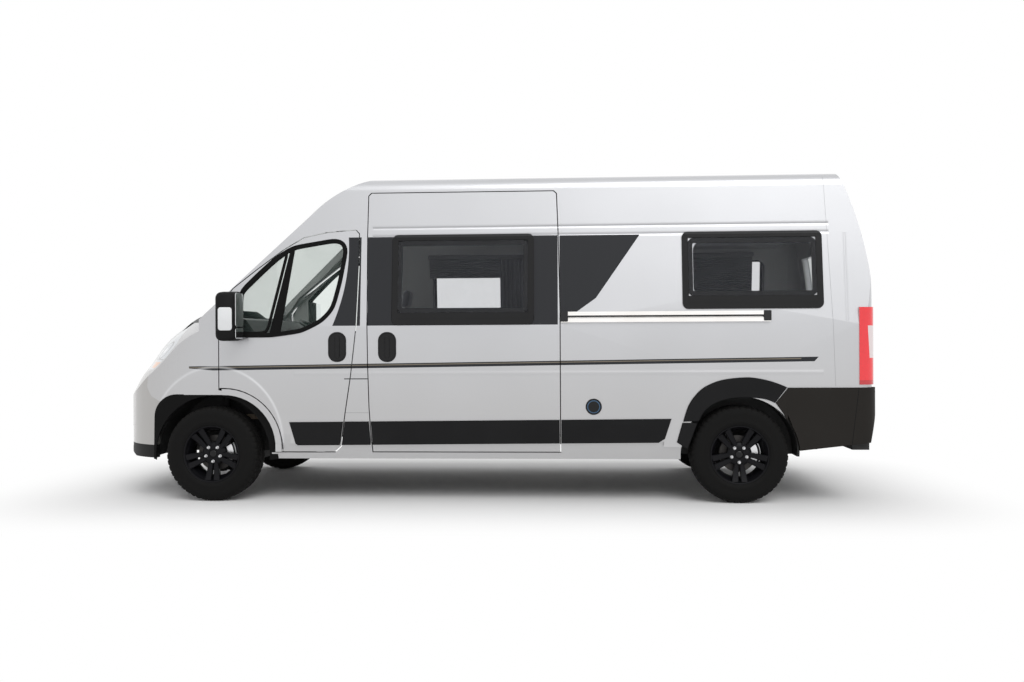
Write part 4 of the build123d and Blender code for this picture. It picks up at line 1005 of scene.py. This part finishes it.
# ---- Slide rail and mirrors ---------------------------------------------------------------------
# The sliding door hangs on an aluminium rail with black end blocks. Each mirror is a black head on two arms, with
# a clear indicator outside and a large and a small glass facing back.
satin_rail = material("satin_rail", grained(rgb(0.84, 0.80, 0.75), 0.36, 30.0), Metallic=0.5)
indicator_lens = material("indicator_lens", grained(rgb(0.62, 0.63, 0.64), 0.18, 45.0), Coat_Weight=1.0)
mirror_silver = material("mirror_silver", grained(rgb(0.80, 0.82, 0.84), 0.02, 8.0), Metallic=1.0)
dress(satin_rail, "slide_rail")
rail_middle = 1.4115
rail_slot = rounded(0.700, 2.170, rail_middle - 0.0065, rail_middle + 0.0065, 0.005)
add("slide_rail_slot", plate(rail_slot, 0.018, 0.0205, 0.001), black_plastic, "root", on_flank(-1))
ends = [plate(rounded(left, left + 0.058, rail_middle - 0.041, rail_middle + 0.037, 0.008), 0.0, 0.0225, 0.003)
        for left in (0.645, 2.156)]
add("slide_rail_ends", joined(ends), black_plastic, "root", on_flank(-1))
for side, hand in sides:
    body = "cab_door_" + hand
    sections = []
    for across, inset in ((1.030, 0.016), (1.036, 0.006), (1.060, 0.001), (1.150, 0.0), (1.215, 0.002), (1.238, 0.009),
                          (1.2505, 0.024)):
        taper = (across - 1.03) * 0.06
        head = rounded(-1.950 + taper + inset, -1.779 - inset, 1.238 + inset, 1.619 - taper - inset, 0.045)
        sections.append((across, head))
    parts = [stacked(sections, side)]
    for height in (1.330, 1.500):
        arm = []
        for across in (0.985, 1.010, 1.045):
            rise = height + (across - 0.99) * 0.25
            arm.append((across, rounded(-1.925, -1.862, rise - 0.020, rise + 0.020, 0.016)))
        parts.append(stacked(arm, side))
    add("mirror_head_" + hand, joined(parts), dark_plastic, body, hides=["mirror_" + hand])
    lens = rounded(-1.905, -1.800, 1.318, 1.490, 0.020)
    lens_sections = [(across, shrunk(lens, inset)) for across, inset in ((1.240, 0.0), (1.2522, 0.0), (1.2535, 0.003))]
    add("mirror_indicator_" + hand, stacked(lens_sections, side), indicator_lens, body)
    low, high = (1.062, 1.232) if side > 0 else (-1.232, -1.062)
    panes = [plate(rounded(low, high, 1.345, 1.600, 0.025), -0.001, 0.003, 0.001),
             plate(rounded(low, high, 1.256, 1.335, 0.020), -0.001, 0.003, 0.001)]
    add("mirror_glass_" + hand, joined(panes), mirror_silver, body, facing_back(-1.7795))
dress(black_plastic, "steering_wheel")

# ---- Furniture and seats -------------------------------------------------------------------------
# Oak-pattern laminate on the kitchen and benches, pale board on washroom and lockers, woven grey cloth on the
# seats and cushions, and pleated blinds and a curtain at the windows.


def laminate_look(place):
    streak = place.grain(9.0, 6.0, (0.6, 6.0, 6.0))
    fine = place.grain(90.0, 4.0, (0.3, 5.0, 5.0))
    colour = streak.blend(rgb(0.40, 0.27, 0.16), rgb(0.60, 0.45, 0.29))
    return {"Base Color": colour, "Roughness": 0.42 + fine * 0.15, "Normal": fine.bump(0.12, 0.0006)}


def cloth_look(place):
    x, y, z = place.axes()
    weave = place.math("SINE", (x + z) * 2600.0) * place.math("SINE", (y + z) * 2600.0)
    tone = place.grain(5.0, 3.0)
    return {"Base Color": tone.blend(rgb(0.10, 0.10, 0.11), rgb(0.16, 0.16, 0.17)), "Roughness": 0.85 + tone * 0.1,
            "Normal": weave.bump(0.3, 0.0006)}


oak_laminate = material("oak_laminate", laminate_look)
seat_cloth = material("seat_cloth", cloth_look, Sheen_Weight=0.4)
pale_board = material("pale_board", grained(rgb(0.34, 0.345, 0.35), 0.40, 30.0))
blind_cloth = material("blind_cloth", grained(rgb(0.20, 0.205, 0.215), 0.85, 700.0))
dress(oak_laminate, "kitchen_unit", "rear_benches")
dress(pale_board, "washroom", "overhead_lockers")
cushion_pressure, settle_frames = 4.0, 20


def stuffed(mesh, cap, voxel):
    """A cushion filled out from its cut shape. No point moves further than cap."""
    def settled(shape, kind, **settings):
        work = bpy.data.objects.new("cushion", shape)
        bpy.context.scene.collection.objects.link(work)
        change = work.modifiers.new("change", kind)
        for key, value in settings.items():
            setattr(change, key, value)
        if kind == "CLOTH":
            change.settings.use_pressure = True
            change.settings.uniform_pressure_force = cushion_pressure
            change.settings.effector_weights.gravity = 0.0
            for moment in range(1, settle_frames + 1):
                bpy.context.scene.frame_set(moment)
        bpy.context.view_layer.update()
        result = bpy.data.meshes.new_from_object(work.evaluated_get(bpy.context.evaluated_depsgraph_get()))
        bpy.data.objects.remove(work)
        return result

    even = settled(outward(mesh), "REMESH", mode="VOXEL", voxel_size=voxel)
    filled = settled(even.copy(), "CLOTH")
    for before, after in zip(even.vertices, filled.vertices):
        moved = after.co - before.co
        before.co = before.co + moved * min(1.0, cap / max(moved.length, 1e-9))
    bpy.context.scene.frame_set(1)
    return settled(even, "SUBSURF", levels=1)


def rod(points, radius):
    """A round bar along a run of points."""
    rings = []
    for index, point in enumerate(points):
        ahead = Vector(points[min(index + 1, len(points) - 1)]) - Vector(points[max(index - 1, 0)])
        turned = ahead.to_track_quat("Z", "Y")
        rings.append([tuple(Vector(point) + turned @ Vector((x, y, 0))) for x, y in circle(0.0, 0.0, radius, 16)])
    return outward(layered(rings))


# cab seats: pedestal, cushion, tilted back and a headrest on two posts
back_tilt, seat_side = math.radians(12), 0.43
seat_cushion = stuffed(plate(rounded(-1.383, -0.899, -0.242, 0.242, 0.06), 0.832, 0.928, 0.026), 0.022, 0.014)
seat_back = stuffed(plate(rounded(-0.232, 0.232, -0.300, 0.300, 0.08), -0.044, 0.044, 0.026), 0.022, 0.014)
seat_rest = stuffed(plate(rounded(-0.120, 0.120, -0.080, 0.080, 0.045), -0.034, 0.034, 0.022), 0.014, 0.010)
pedestal = [[(x, y, z) for x, y in rounded(-1.321 + inset, -0.941 - inset, -0.200 + inset, 0.200 - inset, 0.03)]
            for z, inset in ((0.601, 0.0), (0.640, 0.0), (0.700, 0.035), (0.790, 0.030), (0.822, 0.0), (0.830, 0.004))]
for side, hand in sides:
    across = Matrix.Translation((0.0, side * seat_side, 0.0))
    tilted = Matrix(((0, math.sin(back_tilt), math.cos(back_tilt), 0), (1, 0, 0, side * seat_side),
                     (0, math.cos(back_tilt), -math.sin(back_tilt), 0), (0, 0, 0, 1)))
    for name, shape, laid, fill in (
            ("seat_cushion_", seat_cushion, across, 0.6),
            ("seat_back_", seat_back, Matrix.Translation((-0.846, 0.0, 1.210)) @ tilted, 0.6),
            ("seat_rest_", seat_rest, Matrix.Translation((-0.766, 0.0, 1.610)) @ tilted, 0.7)):
        add(name + hand, shape.copy(), seat_cloth, "root", laid)
    posts = [rod([(-0.800 + lift * 0.21, spread, 1.44 + lift) for lift in (0.0, 0.05, 0.11)], 0.0055)
             for spread in (-0.055, 0.055)]
    add("seat_posts_" + hand, joined(posts), bright_steel, "root", across)
    stand = add("seat_pedestal_" + hand, layered(pedestal), black_plastic, "root", across)
    if side < 0:
        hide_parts("cab_seats")

# lounge: seat and back cushions along both benches
bench_cushion = stuffed(plate(rounded(1.580, 2.175, 0.362, 0.925, 0.05), 1.026, 1.094, 0.024), 0.020, 0.018)
bench_back = stuffed(plate(rounded(1.590, 2.170, 1.140, 1.420, 0.05), 0.0, 0.060, 0.022), 0.016, 0.018)
upright = Matrix(((1, 0, 0, 0), (0, 0, 1, 0.872), (0, 1, 0, 0), (0, 0, 0, 1)))
for side, hand in sides:
    turned = Matrix.Diagonal((1, side, 1, 1))
    for label, along in (("front", 0.0), ("rear", 0.628)):
        place = turned @ Matrix.Translation((along, 0.0, 0.0))
        for name, shape, laid in (("bench_cushion_", bench_cushion, place),
                                  ("bench_back_", bench_back, place @ upright)):
            add(name + label + "_" + hand, shape.copy(), seat_cloth, "root", laid)

# kitchen: worktop, hob with two rings, sink and a bent tap
add("worktop", plate(rounded(-0.550, 0.602, 0.428, 0.950, 0.02), 1.330, 1.354, 0.004), pale_board, "root")
hob = [plate(rounded(-0.510, -0.030, 0.500, 0.860, 0.02), 1.353, 1.359, 0.002)]
hob += [frame_ring(circle(x, 0.690, 0.085, 48), 0.012, 1.358, 1.372, 0.003) for x in (-0.385, -0.150)]
add("hob", joined(hob), gloss_black, "root")
sink_rim = rounded(0.120, 0.520, 0.510, 0.830, 0.05)
sink = [frame_ring(sink_rim, 0.022, 1.353, 1.358, 0.002), plate(shrunk(sink_rim, 0.02), 1.3545, 1.3555, 0.0004)]
tap = rod(through([(0.320, 0.880, 1.354), (0.320, 0.880, 1.500), (0.320, 0.840, 1.560), (0.320, 0.770, 1.550),
                   (0.320, 0.745, 1.520)]), 0.010)
add("sink", joined(sink + [tap]), bright_steel, "root")


def pleated(x0, x1, z0, z1, side, out, upward, fold, deep):
    """A folded sheet inside one side wall, its folds stacked up it or standing along it, and its flat size."""
    span = (z1 - z0) if upward else (x1 - x0)
    count = max(2, round(span / fold)) * 4
    rows = []
    for step in range(count + 1):
        wave = out + deep * math.sin(math.pi / 2 * step)
        reach = span * step / count
        (xa, za), (xb, zb) = ((x0, z0 + reach), (x1, z0 + reach)) if upward else ((x0 + reach, z0), (x0 + reach, z1))
        rows.append([(-side * (xa + (xb - xa) * part / 8), up_skin(za + (zb - za) * part / 8), wave)
                     for part in range(9)])
    faces = [(row * 9 + spot, row * 9 + spot + 1, (row + 1) * 9 + spot + 1, (row + 1) * 9 + spot)
             for row in range(count) for spot in range(8)]
    mesh = bpy.data.meshes.new("pleated")
    mesh.from_pydata([point for row in rows for point in row], [], faces)
    long_way = count * math.hypot(span / count, deep)
    return mesh, ((x1 - x0, long_way) if upward else (long_way, z1 - z0))


# pleated blinds in their cassettes, closed or drawn part down, and a gathered curtain by the kitchen
blind_top = 2.020
for name, side, x0, x1, z0 in (("kitchen", 1, -0.620, 0.425, 1.835), ("lounge_right", 1, 1.635, 2.440, 1.490),
                               ("door", -1, -0.610, 0.415, 1.975), ("lounge_left", -1, 1.590, 2.580, 1.965)):
    left, right = sorted((-side * (x0 - 0.012), -side * (x1 + 0.012)))
    top = up_skin(blind_top)
    cassette = plate(rounded(left, right, top - 0.004, top + 0.034, 0.008), -0.088, -0.056, 0.004)
    rail = add("blind_rail_" + name, cassette, lining_plastic, "root", on_side(side))
    mesh, flat = pleated(x0, x1, z0, blind_top, side, -0.070, True, 0.018, 0.005)
    blind = add("blind_" + name, mesh, blind_cloth, "root", on_side(side))
    if name == "kitchen":
        mesh, flat = pleated(0.060, 0.440, 1.370, 2.010, side, -0.104, False, 0.040, 0.012)
        curtain = add("curtain_kitchen", mesh, blind_cloth, "root", on_side(side))
